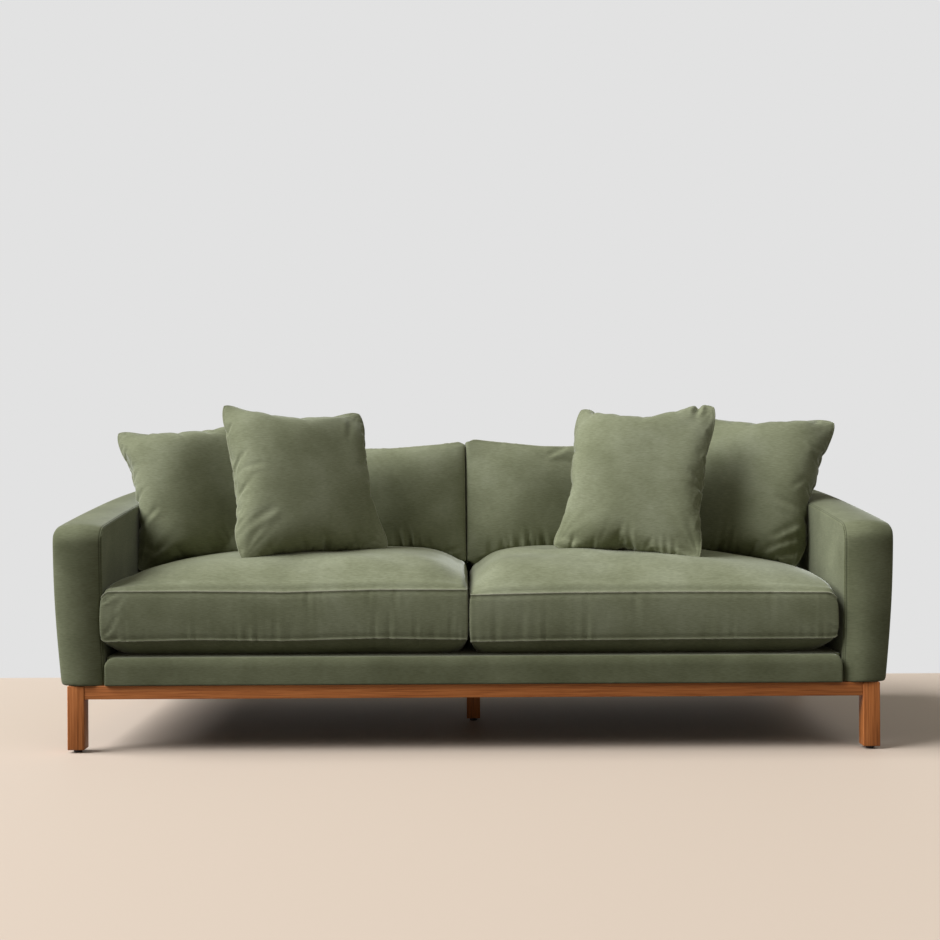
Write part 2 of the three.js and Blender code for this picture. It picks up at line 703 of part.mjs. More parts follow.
// A cushion in its own axes: u across, v along, w out of its face. With a border it has two
// seams, and without one its panels meet in a single seam.
function cushionSolid(form, place) {
  const { columns, rows, border, outline, upper, lower, puff } = form;
  const points = [];
  const triangles = [];
  const ease = (i, count) => Math.sin((i / count - 1 / 2) * Math.PI);
  const onEdge = (i, j) => i === 0 || j === 0 || i === columns || j === rows;
  const indexOf = { upper: new Map(), lower: new Map() };
  for (const panel of ['upper', 'lower']) {
    for (let i = 0; i <= columns; i += 1) {
      for (let j = 0; j <= rows; j += 1) {
        const shared = panel === 'lower' && border === 0 && onEdge(i, j);
        const u = ease(i, columns);
        const v = ease(j, rows);
        if (!shared) {
          const [x, y] = outline(u, v);
          const w = panel === 'upper' ? border / 2 + upper(u, v) : -border / 2 - lower(u, v);
          points.push(new THREE.Vector3(x, y, w));
        }
        const index = shared ? indexOf.upper.get(`${i},${j}`) : points.length - 1;
        indexOf[panel].set(`${i},${j}`, index);
      }
    }
  }
  for (const panel of ['upper', 'lower']) {
    const at = (i, j) => indexOf[panel].get(`${i},${j}`);
    for (let i = 0; i < columns; i += 1) {
      for (let j = 0; j < rows; j += 1) {
        const [a, b, c, d] = [at(i, j), at(i + 1, j), at(i + 1, j + 1), at(i, j + 1)];
        const faces = (i + j) % 2 ? [[a, b, c], [a, c, d]] : [[a, b, d], [b, c, d]];
        triangles.push(...(panel === 'upper' ? faces : faces.map(([p, q, r]) => [p, r, q])));
      }
    }
  }
  if (border > 0) {
    const walk = [];
    for (let i = 0; i < columns; i += 1) walk.push([i, 0]);
    for (let j = 0; j < rows; j += 1) walk.push([columns, j]);
    for (let i = columns; i > 0; i -= 1) walk.push([i, rows]);
    for (let j = rows; j > 0; j -= 1) walk.push([0, j]);
    const middle = walk.map(([i, j]) => {
      const at = points[indexOf.upper.get(`${i},${j}`)];
      const outX = i === 0 ? -1 : Number(i === columns);
      const outY = j === 0 ? -1 : Number(j === rows);
      points.push(new THREE.Vector3(at.x + puff * outX, at.y + puff * outY, 0));
      return points.length - 1;
    });
    walk.forEach(([i, j], k) => {
      const next = (k + 1) % walk.length;
      const [ni, nj] = walk[next];
      for (const [panel, flip] of [['upper', false], ['lower', true]]) {
        const a = indexOf[panel].get(`${i},${j}`);
        const b = indexOf[panel].get(`${ni},${nj}`);
        const faces = [[a, middle[k], middle[next]], [a, middle[next], b]];
        triangles.push(...(flip ? faces.map(([p, q, r]) => [p, r, q]) : faces));
      }
    });
  }
  return solidFrom(points.map((point) => point.applyMatrix4(place)), triangles);
}

// Outline of a boxed cushion: sides drawn in between the corners, corners eased
function boxedOutline(width, length, drawIn) {
  return (u, v) => {
    const corner = cushionCornerEase * (u * v) ** cushionCornerPower;
    const x = u * (width / 2 - drawIn * (1 - v * v)) - Math.sign(u) * corner;
    const y = v * (length / 2 - drawIn * (1 - u * u)) - Math.sign(v) * corner;
    return [x, y];
  };
}

// Seat cushions
const seatPower = { across: 5, along: 3.2 };
const belowDeck = block([-sofaWidth, sofaWidth], [-sofaWidth, sofaWidth], [0, deckTop + touchGap]);
const splitPlane = block(
  [-cushionSplit / 2, cushionSplit / 2], [-sofaDepth, sofaDepth], [0, sofaWidth],
);
const seatCushions = {};
for (const [sideName, xSide] of [['left', -1], ['right', 1]]) {
  const width = armInnerX + cushionSidePress - 2 * seatPuff;
  const frontY = front + seatFrontSetback + seatPuff;
  const rearY = backFaceY - touchGap - seatPuff;
  const dome = (u, v) => (1 - Math.abs(u) ** seatPower.across) * (1 - Math.abs(v) ** seatPower.along);
  const form = {
    columns: 18, rows: 14, border: seatBorder, puff: seatPuff,
    outline: boxedOutline(width, rearY - frontY, seatDrawIn),
    upper: (u, v) => seatCrown * dome(u, v), lower: (u, v) => seatBelly * dome(u, v),
  };
  const middleX = xSide * (seatPuff + width / 2);
  const place = new THREE.Matrix4().makeTranslation(middleX, (frontY + rearY) / 2, seatMiddle);
  let cushion = cushionSolid(form, place).subtract(belowDeck).subtract(splitPlane);
  cushion = clearOf(cushion, armCovers[sideName], [-xSide * touchGap, 0, 0]);
  seatCushions[sideName] = mainBody(cushion);
  addPiece(`seat_cushion_${sideName}`, seatCushions[sideName], 'velvet');
}

// Back cushions
const backCushionPower = { across: 4, along: 2.6 };
const backCushions = {};
for (const [sideName, xSide] of [['left', -1], ['right', 1]]) {
  const width = armInnerX + cushionSidePress - 2 * backCushionPuff;
  const { across, along } = backCushionPower;
  const dome = (u, v) => (1 - Math.abs(u) ** across) * (1 - Math.abs(v) ** along);
  const form = {
    columns: 14, rows: 10, border: backCushionBorder, puff: backCushionPuff,
    outline: boxedOutline(width, backCushionHeight, backCushionDrawIn),
    upper: (u, v) => backCushionCrown * dome(u, v), lower: (u, v) => backCushionBelly * dome(u, v),
  };
  const middleX = xSide * (backCushionPuff + width / 2);
  const place = new THREE.Matrix4().makeTranslation(middleX, rear - backCushionStandOff, backCushionLift)
    .multiply(new THREE.Matrix4().makeRotationX(Math.PI / 2 - backCushionLean));
  let cushion = cushionSolid(form, place).subtract(splitPlane);
  cushion = clearOf(cushion, seatCushions[sideName], [0, 0, touchGap]);
  cushion = clearOf(cushion, backCover, [0, -touchGap, 0]);
  cushion = clearOf(cushion, armCovers[sideName], [-xSide * touchGap, 0, 0]);
  backCushions[sideName] = mainBody(cushion);
  addPiece(`back_cushion_${sideName}`, backCushions[sideName], 'velvet');
}

// Throw pillows, each pressed into the shape of what it leans on
const outerPillows = {};
for (const pillow of pillows) {
  const sideName = pillow.side < 0 ? 'left' : 'right';
  const outline = (u, v) => {
    const widthShare = THREE.MathUtils.lerp(pillow.bottomWidthShare, pillow.topWidthShare, (v + 1) / 2);
    const heightShare = THREE.MathUtils.lerp(pillow.leftHeightShare, pillow.rightHeightShare, (u + 1) / 2);
    const x = u * pillowSize / 2 * widthShare * (1 - pillowDrawInShare * (1 - v * v));
    return [x, v * pillowSize / 2 * heightShare * (1 - pillowDrawInShare * (1 - u * u))];
  };
  const loftAt = (u, v) => pillowThickness / 2 * ((1 - u * u) * (1 - v * v)) ** pillowFullness;
  const form = { columns: 12, rows: 12, border: 0, puff: 0, outline, upper: loftAt, lower: loftAt };
  const stand = new THREE.Object3D();
  stand.position.set(
    pillow.side * (armInnerX - pillowSize * pillow.fromArmShare),
    backFaceY - pillowSize * pillow.fromBackShare,
    seatTop + pillowSize * pillow.aboveSeatShare,
  );
  const [turn, lean, roll] = [pillow.turn, pillow.lean, pillow.roll].map(THREE.MathUtils.degToRad);
  stand.rotation.set(-lean, roll, turn, 'ZXY');
  stand.updateMatrix();
  const upright = new THREE.Matrix4().makeRotationX(Math.PI / 2);
  let solid = cushionSolid(form, stand.matrix.clone().multiply(upright));
  solid = clearOf(solid, seatCushions[sideName], [0, 0, touchGap]);
  solid = clearOf(solid, backCushions[sideName], [0, -touchGap, 0]);
  solid = clearOf(solid, armCovers[sideName], [-pillow.side * touchGap, 0, touchGap]);
  if (pillow.inner) {
    solid = clearOf(solid, outerPillows[sideName], [-pillow.side * touchGap, -touchGap, 0]);
  } else {
    outerPillows[sideName] = mainBody(solid);
  }
  addPiece(pillow.name, mainBody(solid), 'velvet');
}

export default group;
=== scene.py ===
import math

import bpy
import numpy as np
from mathutils import Matrix, Vector
from mathutils.bvhtree import BVHTree


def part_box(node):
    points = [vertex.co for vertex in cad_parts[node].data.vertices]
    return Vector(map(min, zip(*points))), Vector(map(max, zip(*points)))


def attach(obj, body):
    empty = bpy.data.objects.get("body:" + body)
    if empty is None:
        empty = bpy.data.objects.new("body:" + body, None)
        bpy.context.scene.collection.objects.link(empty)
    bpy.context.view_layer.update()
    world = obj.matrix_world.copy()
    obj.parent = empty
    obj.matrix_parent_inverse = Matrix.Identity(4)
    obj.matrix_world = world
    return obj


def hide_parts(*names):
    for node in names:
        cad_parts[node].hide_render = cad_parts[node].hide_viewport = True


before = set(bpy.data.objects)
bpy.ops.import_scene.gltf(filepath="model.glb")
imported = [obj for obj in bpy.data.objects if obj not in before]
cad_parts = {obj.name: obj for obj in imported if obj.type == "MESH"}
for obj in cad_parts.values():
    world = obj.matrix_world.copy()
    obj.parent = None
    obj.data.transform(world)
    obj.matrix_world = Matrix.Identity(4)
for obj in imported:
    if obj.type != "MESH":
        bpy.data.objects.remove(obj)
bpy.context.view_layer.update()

# Camera: eye height of 0.75 m, 3.7 m in front of the sofa, level, with the lens of the photograph.
# The slight roll is the photograph's own.
camera_data = bpy.data.cameras.new("camera")
camera_data.sensor_width = 36
camera_data.lens = 53.27
camera = bpy.data.objects.new("camera", camera_data)
camera.location = (-0.0066, -4.175, 0.75)
camera.rotation_euler = (math.radians(90), math.radians(0.3), 0)
bpy.context.scene.collection.objects.link(camera)
bpy.context.scene.camera = camera
bpy.context.scene.view_settings.view_transform = "Standard"


# Floor: a plain pale studio floor that turns to plain pale grey behind the sofa.
# It takes the sofa's shadow, and the world behind it has the same grey. It throws back little light.
def linear(code):
    """An sRGB hex colour as linear red, green, blue and full opacity."""
    parts = [int(code[i:i + 2], 16) / 255 for i in (1, 3, 5)]
    return [p / 12.92 if p <= 0.04045 else ((p + 0.055) / 1.055) ** 2.4 for p in parts] + [1]


def add(tree, kind, settings, inputs):
    """Adds a node with its own settings, and with values or links for its inputs."""
    node = tree.nodes.new(kind)
    for key, value in settings.items():
        setattr(node, key, value)
    for key, value in inputs.items():
        if isinstance(value, bpy.types.NodeSocket):
            tree.links.new(value, node.inputs[key])
        else:
            node.inputs[key].default_value = value
    return node


def mixed(tree, share, first, second, **more):
    """Two colours mixed by a share."""
    settings = {"data_type": "RGBA", **more}
    return add(tree, "ShaderNodeMix", settings, {0: share, 6: first, 7: second}).outputs[2]


def background_rays(tree):
    """Where a ray of the camera or of a mirror image looks, from 0 to 1, and its path node."""
    path = add(tree, "ShaderNodeLightPath", {}, {})
    rays = {0: path.outputs["Is Camera Ray"], 1: path.outputs["Is Glossy Ray"]}
    return add(tree, "ShaderNodeMath", {"operation": "MAXIMUM"}, rays).outputs[0], path


def blank(name):
    """A new material: itself, its node tree, its coordinates in metres and its surface."""
    material = bpy.data.materials.new(name)
    material.use_nodes = True
    tree = material.node_tree
    place = add(tree, "ShaderNodeTexCoord", {}, {}).outputs["Object"]
    return material, tree, place, tree.nodes["Principled BSDF"]


def wire(tree, surface, links):
    """Links values to the sockets of a surface."""
    for socket, value in links.items():
        tree.links.new(value, surface.inputs[socket])


wall_grey = "#e2e2e2"
floor_tone = "#c6b5a1"
floor_bounce = "#403d38"
floor_depth_behind = 0.89
floor_edge = 0.02
floor_size = 40
bpy.ops.mesh.primitive_plane_add(size=floor_size)
floor = bpy.context.object
floor.name = "studio_floor"
floor_finish, tree, place, shine = blank("painted_floor")
shine.inputs["Roughness"].default_value = 0.7
behind = add(tree, "ShaderNodeSeparateXYZ", {}, {"Vector": place}).outputs["Y"]
edge = add(tree, "ShaderNodeMapRange", {}, {
    "Value": behind, "From Min": floor_depth_behind, "From Max": floor_depth_behind + floor_edge,
}).outputs["Result"]
glow = add(tree, "ShaderNodeEmission", {}, {"Color": linear(wall_grey)}).outputs[0]
plain = add(tree, "ShaderNodeBsdfDiffuse", {}, {"Color": linear(wall_grey)}).outputs[0]
seen, path = background_rays(tree)
wire(tree, shine, {"Base Color": mixed(tree, seen, linear(floor_bounce), linear(floor_tone))})
wall = add(tree, "ShaderNodeMixShader", {}, {0: seen, 1: plain, 2: glow}).outputs[0]
both = add(tree, "ShaderNodeMixShader", {}, {0: edge, 1: shine.outputs[0], 2: wall}).outputs[0]
wire(tree, tree.nodes["Material Output"], {"Surface": both})
floor.data.materials.append(floor_finish)

# World and lamps: a weak, even sky, one large soft lamp high on the left like a window, and a
# weak one on the right that stands for the light that the room throws back.
sky_level = 0.10
world = bpy.data.worlds.new("studio")
world.use_nodes = True
bpy.context.scene.world = world
tree = world.node_tree
seen, path = background_rays(tree)
seen = add(tree, "ShaderNodeMath", {"operation": "MAXIMUM"}, {
    0: seen, 1: path.outputs["Is Transmission Ray"],
}).outputs[0]
sky = tree.nodes["Background"]
sky.inputs["Color"].default_value = linear("#ffefc8")
sky.inputs["Strength"].default_value = sky_level
backdrop = add(tree, "ShaderNodeBackground", {}, {"Color": linear(wall_grey), "Strength": 1})
both = add(tree, "ShaderNodeMixShader", {}, {0: seen, 1: sky.outputs[0], 2: backdrop.outputs[0]})
wire(tree, tree.nodes["World Output"], {"Surface": both.outputs[0]})


def soft_lamp(name, place, aim, size, level, tint):
    """A square soft lamp. Level is how bright it leaves a white card that faces it at the aim."""
    data = bpy.data.lights.new(name, "AREA")
    data.shape = "SQUARE"
    data.size = size
    reach = Vector(aim) - Vector(place)
    data.energy = level * math.pi ** 2 * reach.length_squared
    data.color = linear(tint)[:3]
    lamp = bpy.data.objects.new(name, data)
    lamp.location = place
    lamp.rotation_euler = reach.to_track_quat("-Z", "Y").to_euler()
    bpy.context.scene.collection.objects.link(lamp)


soft_lamp("window_lamp", (-29.2, -5.5, 26.7), (0, 0, 0.5), 30, 2.2, "#f3f6ff")
soft_lamp("room_lamp", (20.5, -15.2, 31.2), (0, 0, 0.5), 35, 0.20, "#f3f6ff")

# Base: square legs and rails of solid beech, stained orange-brown and lacquered with a low sheen.
# Each is planed, its edges eased by sanding, and the rails are tenoned between the legs.
# The stain gathers in the grain, which runs along each piece in fine dark lines.
body = "sofa_frame"


def ramp(tree, fac, stops):
    """A colour ramp over a value, from its stops of place and hex colour."""
    node = add(tree, "ShaderNodeValToRGB", {}, {"Fac": fac})
    elements = node.color_ramp.elements
    while len(elements) < len(stops):
        elements.new(0.5)
    for element, (place, code) in zip(elements, stops):
        element.position = place
        element.color = linear(code)
    return node.outputs["Color"]


def noise(tree, vector, scale, detail, **more):
    """Cloudy noise over coordinates."""
    inputs = {"Vector": vector, "Scale": scale, "Detail": detail, **more}
    return add(tree, "ShaderNodeTexNoise", {}, inputs).outputs["Fac"]


def stretched(tree, vector, scale):
    """Coordinates scaled along each axis."""
    return add(tree, "ShaderNodeMapping", {}, {"Vector": vector, "Scale": scale}).outputs[0]


def bumps(tree, height, strength, distance):
    """Fine relief, its distance in metres."""
    inputs = {"Height": height, "Strength": strength, "Distance": distance}
    return add(tree, "ShaderNodeBump", {}, inputs).outputs[0]


def stained_beech(name, along, grain=0.0035, grain_length=0.14, band_share=0.12):
    """Beech with a wiped orange-brown stain: fine dark flecks and soft bands along one axis."""
    material, tree, place, shine = blank(name)
    shine.inputs["Specular IOR Level"].default_value = 0.3
    stretch = [1 / grain] * 3
    stretch[along] = 1 / grain_length
    flecks = noise(tree, stretched(tree, place, stretch), 1, 4, Roughness=0.6)
    bands = noise(tree, stretched(tree, place, [s * band_share for s in stretch]), 1, 2)
    light = ramp(tree, flecks, [(0.3, "#a25b29"), (0.5, "#c97a3f"), (0.75, "#de9051")])
    dark = ramp(tree, flecks, [(0.3, "#884d23"), (0.5, "#b06733"), (0.75, "#c87c44")])
    gloss = add(tree, "ShaderNodeMapRange", {}, {"Value": flecks, "To Min": 0.42, "To Max": 0.55})
    wire(tree, shine, {
        "Base Color": mixed(tree, bands, dark, light), "Roughness": gloss.outputs[0],
        "Normal": bumps(tree, flecks, 0.25, 0.0003),
    })
    return material


def fit(piece, finish, body, node):
    """Gives a piece its material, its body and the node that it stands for."""
    piece.data.materials.append(finish)
    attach(piece, body)
    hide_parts(node)


def refinish(starts, finish):
    """Gives a finish to the CAD pieces whose names start one of these ways."""
    for name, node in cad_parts.items():
        if name.startswith(starts):
            node.data.materials.clear()
            node.data.materials.append(finish)


def edit(step, **settings):
    """Runs one edit operator on what is selected of the active piece."""
    bpy.ops.object.mode_set(mode="EDIT")
    step(**settings)
    bpy.ops.object.mode_set(mode="OBJECT")


def named(name):
    """The active piece, with its name and with its place and size made part of its mesh."""
    piece = bpy.context.object
    piece.name = name
    piece.data.name = name
    bpy.ops.object.transform_apply(location=True, rotation=True, scale=True)
    return piece


def planed(name, low, high, eased):
    """A planed length of timber between two corners, its edges eased by sanding."""
    bpy.ops.mesh.primitive_cube_add(size=1)
    bpy.context.object.scale = [b - a for a, b in zip(low, high)]
    bpy.context.object.location = [(a + b) / 2 for a, b in zip(low, high)]
    piece = named(name)
    edit(bpy.ops.mesh.select_all, action="SELECT")
    edit(bpy.ops.mesh.bevel, offset=eased, segments=3, affect="EDGES")
    bpy.ops.object.shade_smooth_by_angle(angle=math.radians(50))
    return piece


upright_beech = stained_beech("stained_beech_upright", 2)
long_beech = stained_beech("stained_beech_long", 0)
deep_beech = stained_beech("stained_beech_deep", 1)
leg_edge = 0.0022
rail_edge = 0.0012
joint_line = 0.0006
leg_inner_x = 0
leg_inner_y = 0
for end in ("front", "back"):
    for side in ("left", "right"):
        low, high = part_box(f"leg_{end}_{side}")
        leg = planed(f"beech_leg_{end}_{side}", low, high, leg_edge)
        fit(leg, upright_beech, body, f"leg_{end}_{side}")
        leg_inner_x = min(abs(low[0]), abs(high[0]))
        leg_inner_y = min(abs(low[1]), abs(high[1]))
for places, axis, reach, wood in (
    (("front", "back"), 0, leg_inner_x, long_beech), (("left", "right"), 1, leg_inner_y, deep_beech),
):
    for spot in places:
        low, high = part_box(f"rail_{spot}")
        low[axis], high[axis] = -reach + joint_line, reach - joint_line
        rail = planed(f"beech_rail_{spot}", low, high, rail_edge)
        fit(rail, wood, body, f"rail_{spot}")

# Centre leg: the same beech, with a turned stub that plugs into the stretcher.
# The stretcher is the CAD piece, in the same finish.
low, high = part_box("leg_centre")
post_gap = 0.0003
post_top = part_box("stretcher_centre")[0][2] - post_gap
centre_leg = planed("beech_leg_centre", low, (high[0], high[1], post_top), leg_edge)
fit(centre_leg, upright_beech, body, "leg_centre")
refinish("stretcher_centre", deep_beech)

# Glides: black moulded nylon discs with a nail, hammered into the foot of each leg.
# The moulding is matt, with a fine spark-eroded texture.
glide_nylon, tree, place, shine = blank("moulded_nylon")
shine.inputs["Roughness"].default_value = 0.55
spark = noise(tree, place, 1 / 0.0008, 2)
wire(tree, shine, {
    "Base Color": ramp(tree, spark, [(0.35, "#1b1816"), (0.7, "#2b2724")]),
    "Normal": bumps(tree, spark, 0.3, 0.0001),
})
glide_edge = 0.0015
glide_disc_height = 0.0077
for spot in ("front_left", "front_right", "back_left", "back_right", "centre"):
    low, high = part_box(f"glide_{spot}")
    bpy.ops.mesh.primitive_cylinder_add(
        vertices=40, radius=(high[0] - low[0]) / 2, depth=glide_disc_height,
        location=((low[0] + high[0]) / 2, (low[1] + high[1]) / 2, glide_disc_height / 2),
    )
    glide = named(f"nylon_glide_{spot}")
    edit(bpy.ops.mesh.select_all, action="DESELECT")
    for face in glide.data.polygons:
        face.select = face.normal.z < -0.9
    edit(bpy.ops.mesh.bevel, offset=glide_edge, segments=3, affect="EDGES")
    bpy.ops.object.shade_smooth_by_angle(angle=math.radians(40))
    fit(glide, glide_nylon, body, f"glide_{spot}")

# Carcass: sawn pine boards, posts and blocks, stapled and glued, all hidden under the covers.
# The pine is pale and unfinished, with wide soft grain.
sawn_pine, tree, place, shine = blank("sawn_pine")
shine.inputs["Roughness"].default_value = 0.8
grain = noise(tree, stretched(tree, place, (6, 60, 60)), 2, 3)
wire(tree, shine, {
    "Base Color": ramp(tree, grain, [(0.3, "#b38a55"), (0.6, "#d3b07c")]),
    "Normal": bumps(tree, grain, 0.4, 0.0006),
})
refinish(("seat_frame", "arm_post", "arm_rail", "back_post", "back_rail", "corner_block"), sawn_pine)

# Bolts and springs: zinc-plated coach bolts hold the carcass to the base, and zigzag springs of
# drawn wire carry the seat. Both are bright grey steel with fine drawing marks.
drawn_steel, tree, place, shine = blank("drawn_steel")
shine.inputs["Metallic"].default_value = 1
marks = noise(tree, place, 1 / 0.002, 2)
rough = add(tree, "ShaderNodeMapRange", {}, {"Value": marks, "To Min": 0.28, "To Max": 0.45})
wire(tree, shine, {
    "Base Color": ramp(tree, marks, [(0.3, "#8b8e92"), (0.7, "#b1b4b7")]), "Roughness": rough.outputs[0],
})
refinish(("bolt", "spring"), drawn_steel)


# Bottom lining: black nonwoven cloth, stretched flat and stapled under the seat frame.
# It is cut out round the legs, and its fibres show as a faint mottle.
def from_arrays(name, points, faces):
    """A smooth-shaded piece from arrays of points and faces."""
    mesh = bpy.data.meshes.new(name)
    mesh.from_pydata(np.asarray(points).tolist(), [], np.asarray(faces).tolist())
    mesh.shade_smooth()
    mesh.update()
    piece = bpy.data.objects.new(name, mesh)
    bpy.context.scene.collection.objects.link(piece)
    return piece


lining_cloth, tree, place, shine = blank("nonwoven_cloth")
shine.inputs["Roughness"].default_value = 0.9
fibres = noise(tree, place, 1 / 0.003, 4)
wire(tree, shine, {
    "Base Color": ramp(tree, fibres, [(0.3, "#1d1d20"), (0.7, "#2e2e32")]),
    "Normal": bumps(tree, fibres, 0.5, 0.0003),
})
lining_sag = 0.0004
low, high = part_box("bottom_lining")
cut_x = leg_inner_x - joint_line
cut_y = leg_inner_y - joint_line
xs = np.concatenate([[low[0]], np.linspace(-cut_x, cut_x, 41), [high[0]]])
ys = np.concatenate([[low[1]], np.linspace(-cut_y, cut_y, 21), [high[1]]])
grid = {}
points = []
faces = []
for i in range(len(xs) - 1):
    for j in range(len(ys) - 1):
        if i in (0, len(xs) - 2) and j in (0, len(ys) - 2):
            continue
        corners = []
        for a, b in ((i, j), (i, j + 1), (i + 1, j + 1), (i + 1, j)):
            if (a, b) not in grid:
                grid[a, b] = len(points)
                sag = lining_sag * math.sin(a * 1.9) * math.cos(b * 1.3)
                points.append((xs[a], ys[b], (low[2] + high[2]) / 2 + sag))
            corners.append(grid[a, b])
        faces.append(corners)
lining = from_arrays("lining_under_seat", points, faces)
fit(lining, lining_cloth, body, "bottom_lining")


# Deck pad: a foam pad in velvet that lies on the springs and carries the seat cushions.
# Only its front edge can be seen, in the shadow under the cushions.
# The velvet is a cotton pile, sage green: pale where the light grazes the pile, dark head-on,
# with cloudy patches where the nap has been brushed another way.
def pile_velvet(name, middle, brushed, crushed):
    """Cotton velvet from three tones of its pile: at rest, brushed towards and away."""
    material, tree, place, shine = blank(name)
    shine.inputs["Roughness"].default_value = 0.88
    shine.inputs["Specular IOR Level"].default_value = 0.12
    shine.inputs["Sheen Weight"].default_value = 0.65
    shine.inputs["Sheen Roughness"].default_value = 0.3
    shine.inputs["Sheen Tint"].default_value = linear("#eceee2")
    clouds = noise(tree, place, 1 / 0.15, 3, Roughness=0.6)
    pile = noise(tree, stretched(tree, place, (70, 70, 480)), 1, 3)
    nap = ramp(tree, clouds, [(0.32, crushed), (0.5, middle), (0.68, brushed)])
    flecks = ramp(tree, pile, [(0.3, "#d6d6d0"), (0.7, "#ffffff")])
    tone = mixed(tree, 0.7, nap, flecks, blend_type="MULTIPLY")
    # The seam marks: a pale painted highlight on each seam's ridge, where the pile is also rubbed, and a
    # dark painted shade in each seam's groove.
    mark = add(tree, "ShaderNodeAttribute", {"attribute_name": "seam"}, {}).outputs["Fac"]
    seam_wear_and_highlight = mixed(tree, mark, tone, linear("#b3b09a"))
    deep = add(tree, "ShaderNodeMath", {"operation": "MULTIPLY", "use_clamp": True}, {0: mark, 1: -1})
    wire(tree, shine, {
        "Base Color": mixed(tree, deep.outputs[0], seam_wear_and_highlight, linear("#23261a")),
        "Normal": bumps(tree, pile, 0.35, 0.0006),
    })
    return material


def cage(counts, place):
    """Points and faces of a closed six-sided cage; place(i, j, k) puts its lines in space."""
    top = [c - 1 for c in counts]
    index = {}
    points = []
    faces = []
    for axis in range(3):
        a, b = [(1, 2), (2, 0), (0, 1)][axis]
        for side in (0, top[axis]):
            for m in range(top[a]):
                for n in range(top[b]):
                    ring = [(m, n), (m + 1, n), (m + 1, n + 1), (m, n + 1)]
                    if side == 0:
                        ring.reverse()
                    face = []
                    for p, q in ring:
                        spot = [0, 0, 0]
                        spot[axis], spot[a], spot[b] = side, p, q
                        key = tuple(spot)
                        if key not in index:
                            index[key] = len(points)
                            points.append(place(*key))
                        face.append(index[key])
                    faces.append(face)
    return points, faces, index


def pick(piece):
    """Makes a piece the only selected one, and the active one."""
    bpy.ops.object.select_all(action="DESELECT")
    bpy.context.view_layer.objects.active = piece
    piece.select_set(True)


def round_off(piece, rounds):
    """Subdivides a piece smoothly, for good."""
    pick(piece)
    smooth = piece.modifiers.new("rounded", "SUBSURF")
    smooth.levels = rounds
    smooth.render_levels = rounds
    bpy.ops.object.modifier_apply(modifier="rounded")


def upholstered(name, counts, place, rounds, marks={}):
    """Padding in a tight cover: a cage rounded by subdivision, with its marked lines as attributes."""
    points, faces, index = cage(counts, place)
    piece = from_arrays(name, points, faces)
    for line, share in marks.items():
        layer = piece.data.attributes.new(line, "FLOAT", "POINT")
        for key, spot in index.items():
            layer.data[spot].value = share(*key)
    round_off(piece, rounds)
    return piece


def read_points(piece):
    flat = np.zeros(len(piece.data.vertices) * 3)
    piece.data.vertices.foreach_get("co", flat)
    return flat.reshape(-1, 3)


def read_layer(piece, name):
    values = np.zeros(len(piece.data.vertices), np.float32)
    piece.data.attributes[name].data.foreach_get("value", values)
    return values


def write_points(piece, points):
    piece.data.vertices.foreach_set("co", np.asarray(points).ravel())
    piece.data.update()


def push_out(piece, amounts):
    """Moves each point along its own normal by its amount."""
    points = read_points(piece)
    normals = np.zeros(points.size)
    piece.data.vertex_normals.foreach_get("vector", normals)
    write_points(piece, points + normals.reshape(-1, 3) * np.asarray(amounts)[:, None])


def bell(t):
    """A rounded peak of height 1 at 0."""
    return np.exp(-(t ** 2))


def mark(piece, name, shares):
    """Stores a value at each point. For the seam mark, 1 is a pale painted highlight on the seam's ridge,
    with some rubbed pile, and -1 a dark painted shade in its groove.
    """
    layer = piece.data.attributes.new(name, "FLOAT", "POINT")
    shares = np.zeros(len(piece.data.vertices)) + shares
    layer.data.foreach_set("value", shares.astype(np.float32))


def fit_pad(piece, finish, body, node, seams=0):
    """Finishes a padded piece, with its seam marks of painted highlight and painted shade."""
    mark(piece, "seam", seams)
    fit(piece, finish, body, node)


# The frame's cover is the cushions' velvet in darker tones: painted shade.
cover_velvet_painted_shade = pile_velvet("cotton_velvet_cover_painted_shade", "#717458", "#7a7d60", "#686b4f")
cushion_velvet = pile_velvet("cotton_velvet_cushion", "#838669", "#8d9074", "#797c5f")

low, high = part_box("seat_deck")
deck_top = high[2]
deck_edges = (0, 0.006, 0.016)


def spread(low, high, edges, middles):
    """Places from low to high, close together at both ends by the edges and even between."""
    inner = np.linspace(low + edges[-1], high - edges[-1], middles + 2)[1:-1]
    start = [low + e for e in edges]
    end = [high - e for e in reversed(edges)]
    return [float(v) for v in [*start, *inner, *end]]


deck_xs = spread(low[0], high[0], deck_edges, 20)
deck_ys = spread(low[1], high[1], deck_edges, 10)
deck_zs = spread(low[2], high[2], (0, 0.004), 0)
deck = upholstered(
    "deck_pad", (len(deck_xs), len(deck_ys), len(deck_zs)),
    lambda i, j, k: (deck_xs[i], deck_ys[j], deck_zs[k]), 2,
)
fit_pad(deck, cover_velvet_painted_shade, body, "seat_deck")

# Front panel: velvet over a thin pad, wrapped over the front board and down between the arms.
# Its top edge is soft, and its top corners are pulled round to the arms.
low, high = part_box("apron_cover")
apron_xs = spread(low[0], high[0], (0, 0.007, 0.02, 0.04), 18)
apron_ys = spread(low[1], high[1], (0, 0.008), 1)
apron_zs = spread(low[2], high[2], (0, 0.007, 0.02), 2)
apron_corner = 0.019
apron_slack = 0.0012
apron_tuck = 0.006
apron_tuck_height = 0.012


def apron_place(i, j, k):
    x, y, z = apron_xs[i], apron_ys[j], apron_zs[k]
    side = min(x - low[0], high[0] - x)
    up = (z - low[2]) / (high[2] - low[2])
    short = max(0, apron_corner - side)
    drop = (apron_corner - math.sqrt(apron_corner ** 2 - short ** 2)) * up ** 4
    slack = apron_slack * math.sin(x * 23) * math.sin(up * 3.1)
    tuck = apron_tuck * max(0, 1 - (high[2] - z) / apron_tuck_height)
    return x, y + (slack + tuck if j == 0 else 0), z - drop


apron = upholstered("front_panel", (len(apron_xs), len(apron_ys), len(apron_zs)), apron_place, 3)
fit_pad(apron, cover_velvet_painted_shade, body, "apron_cover")

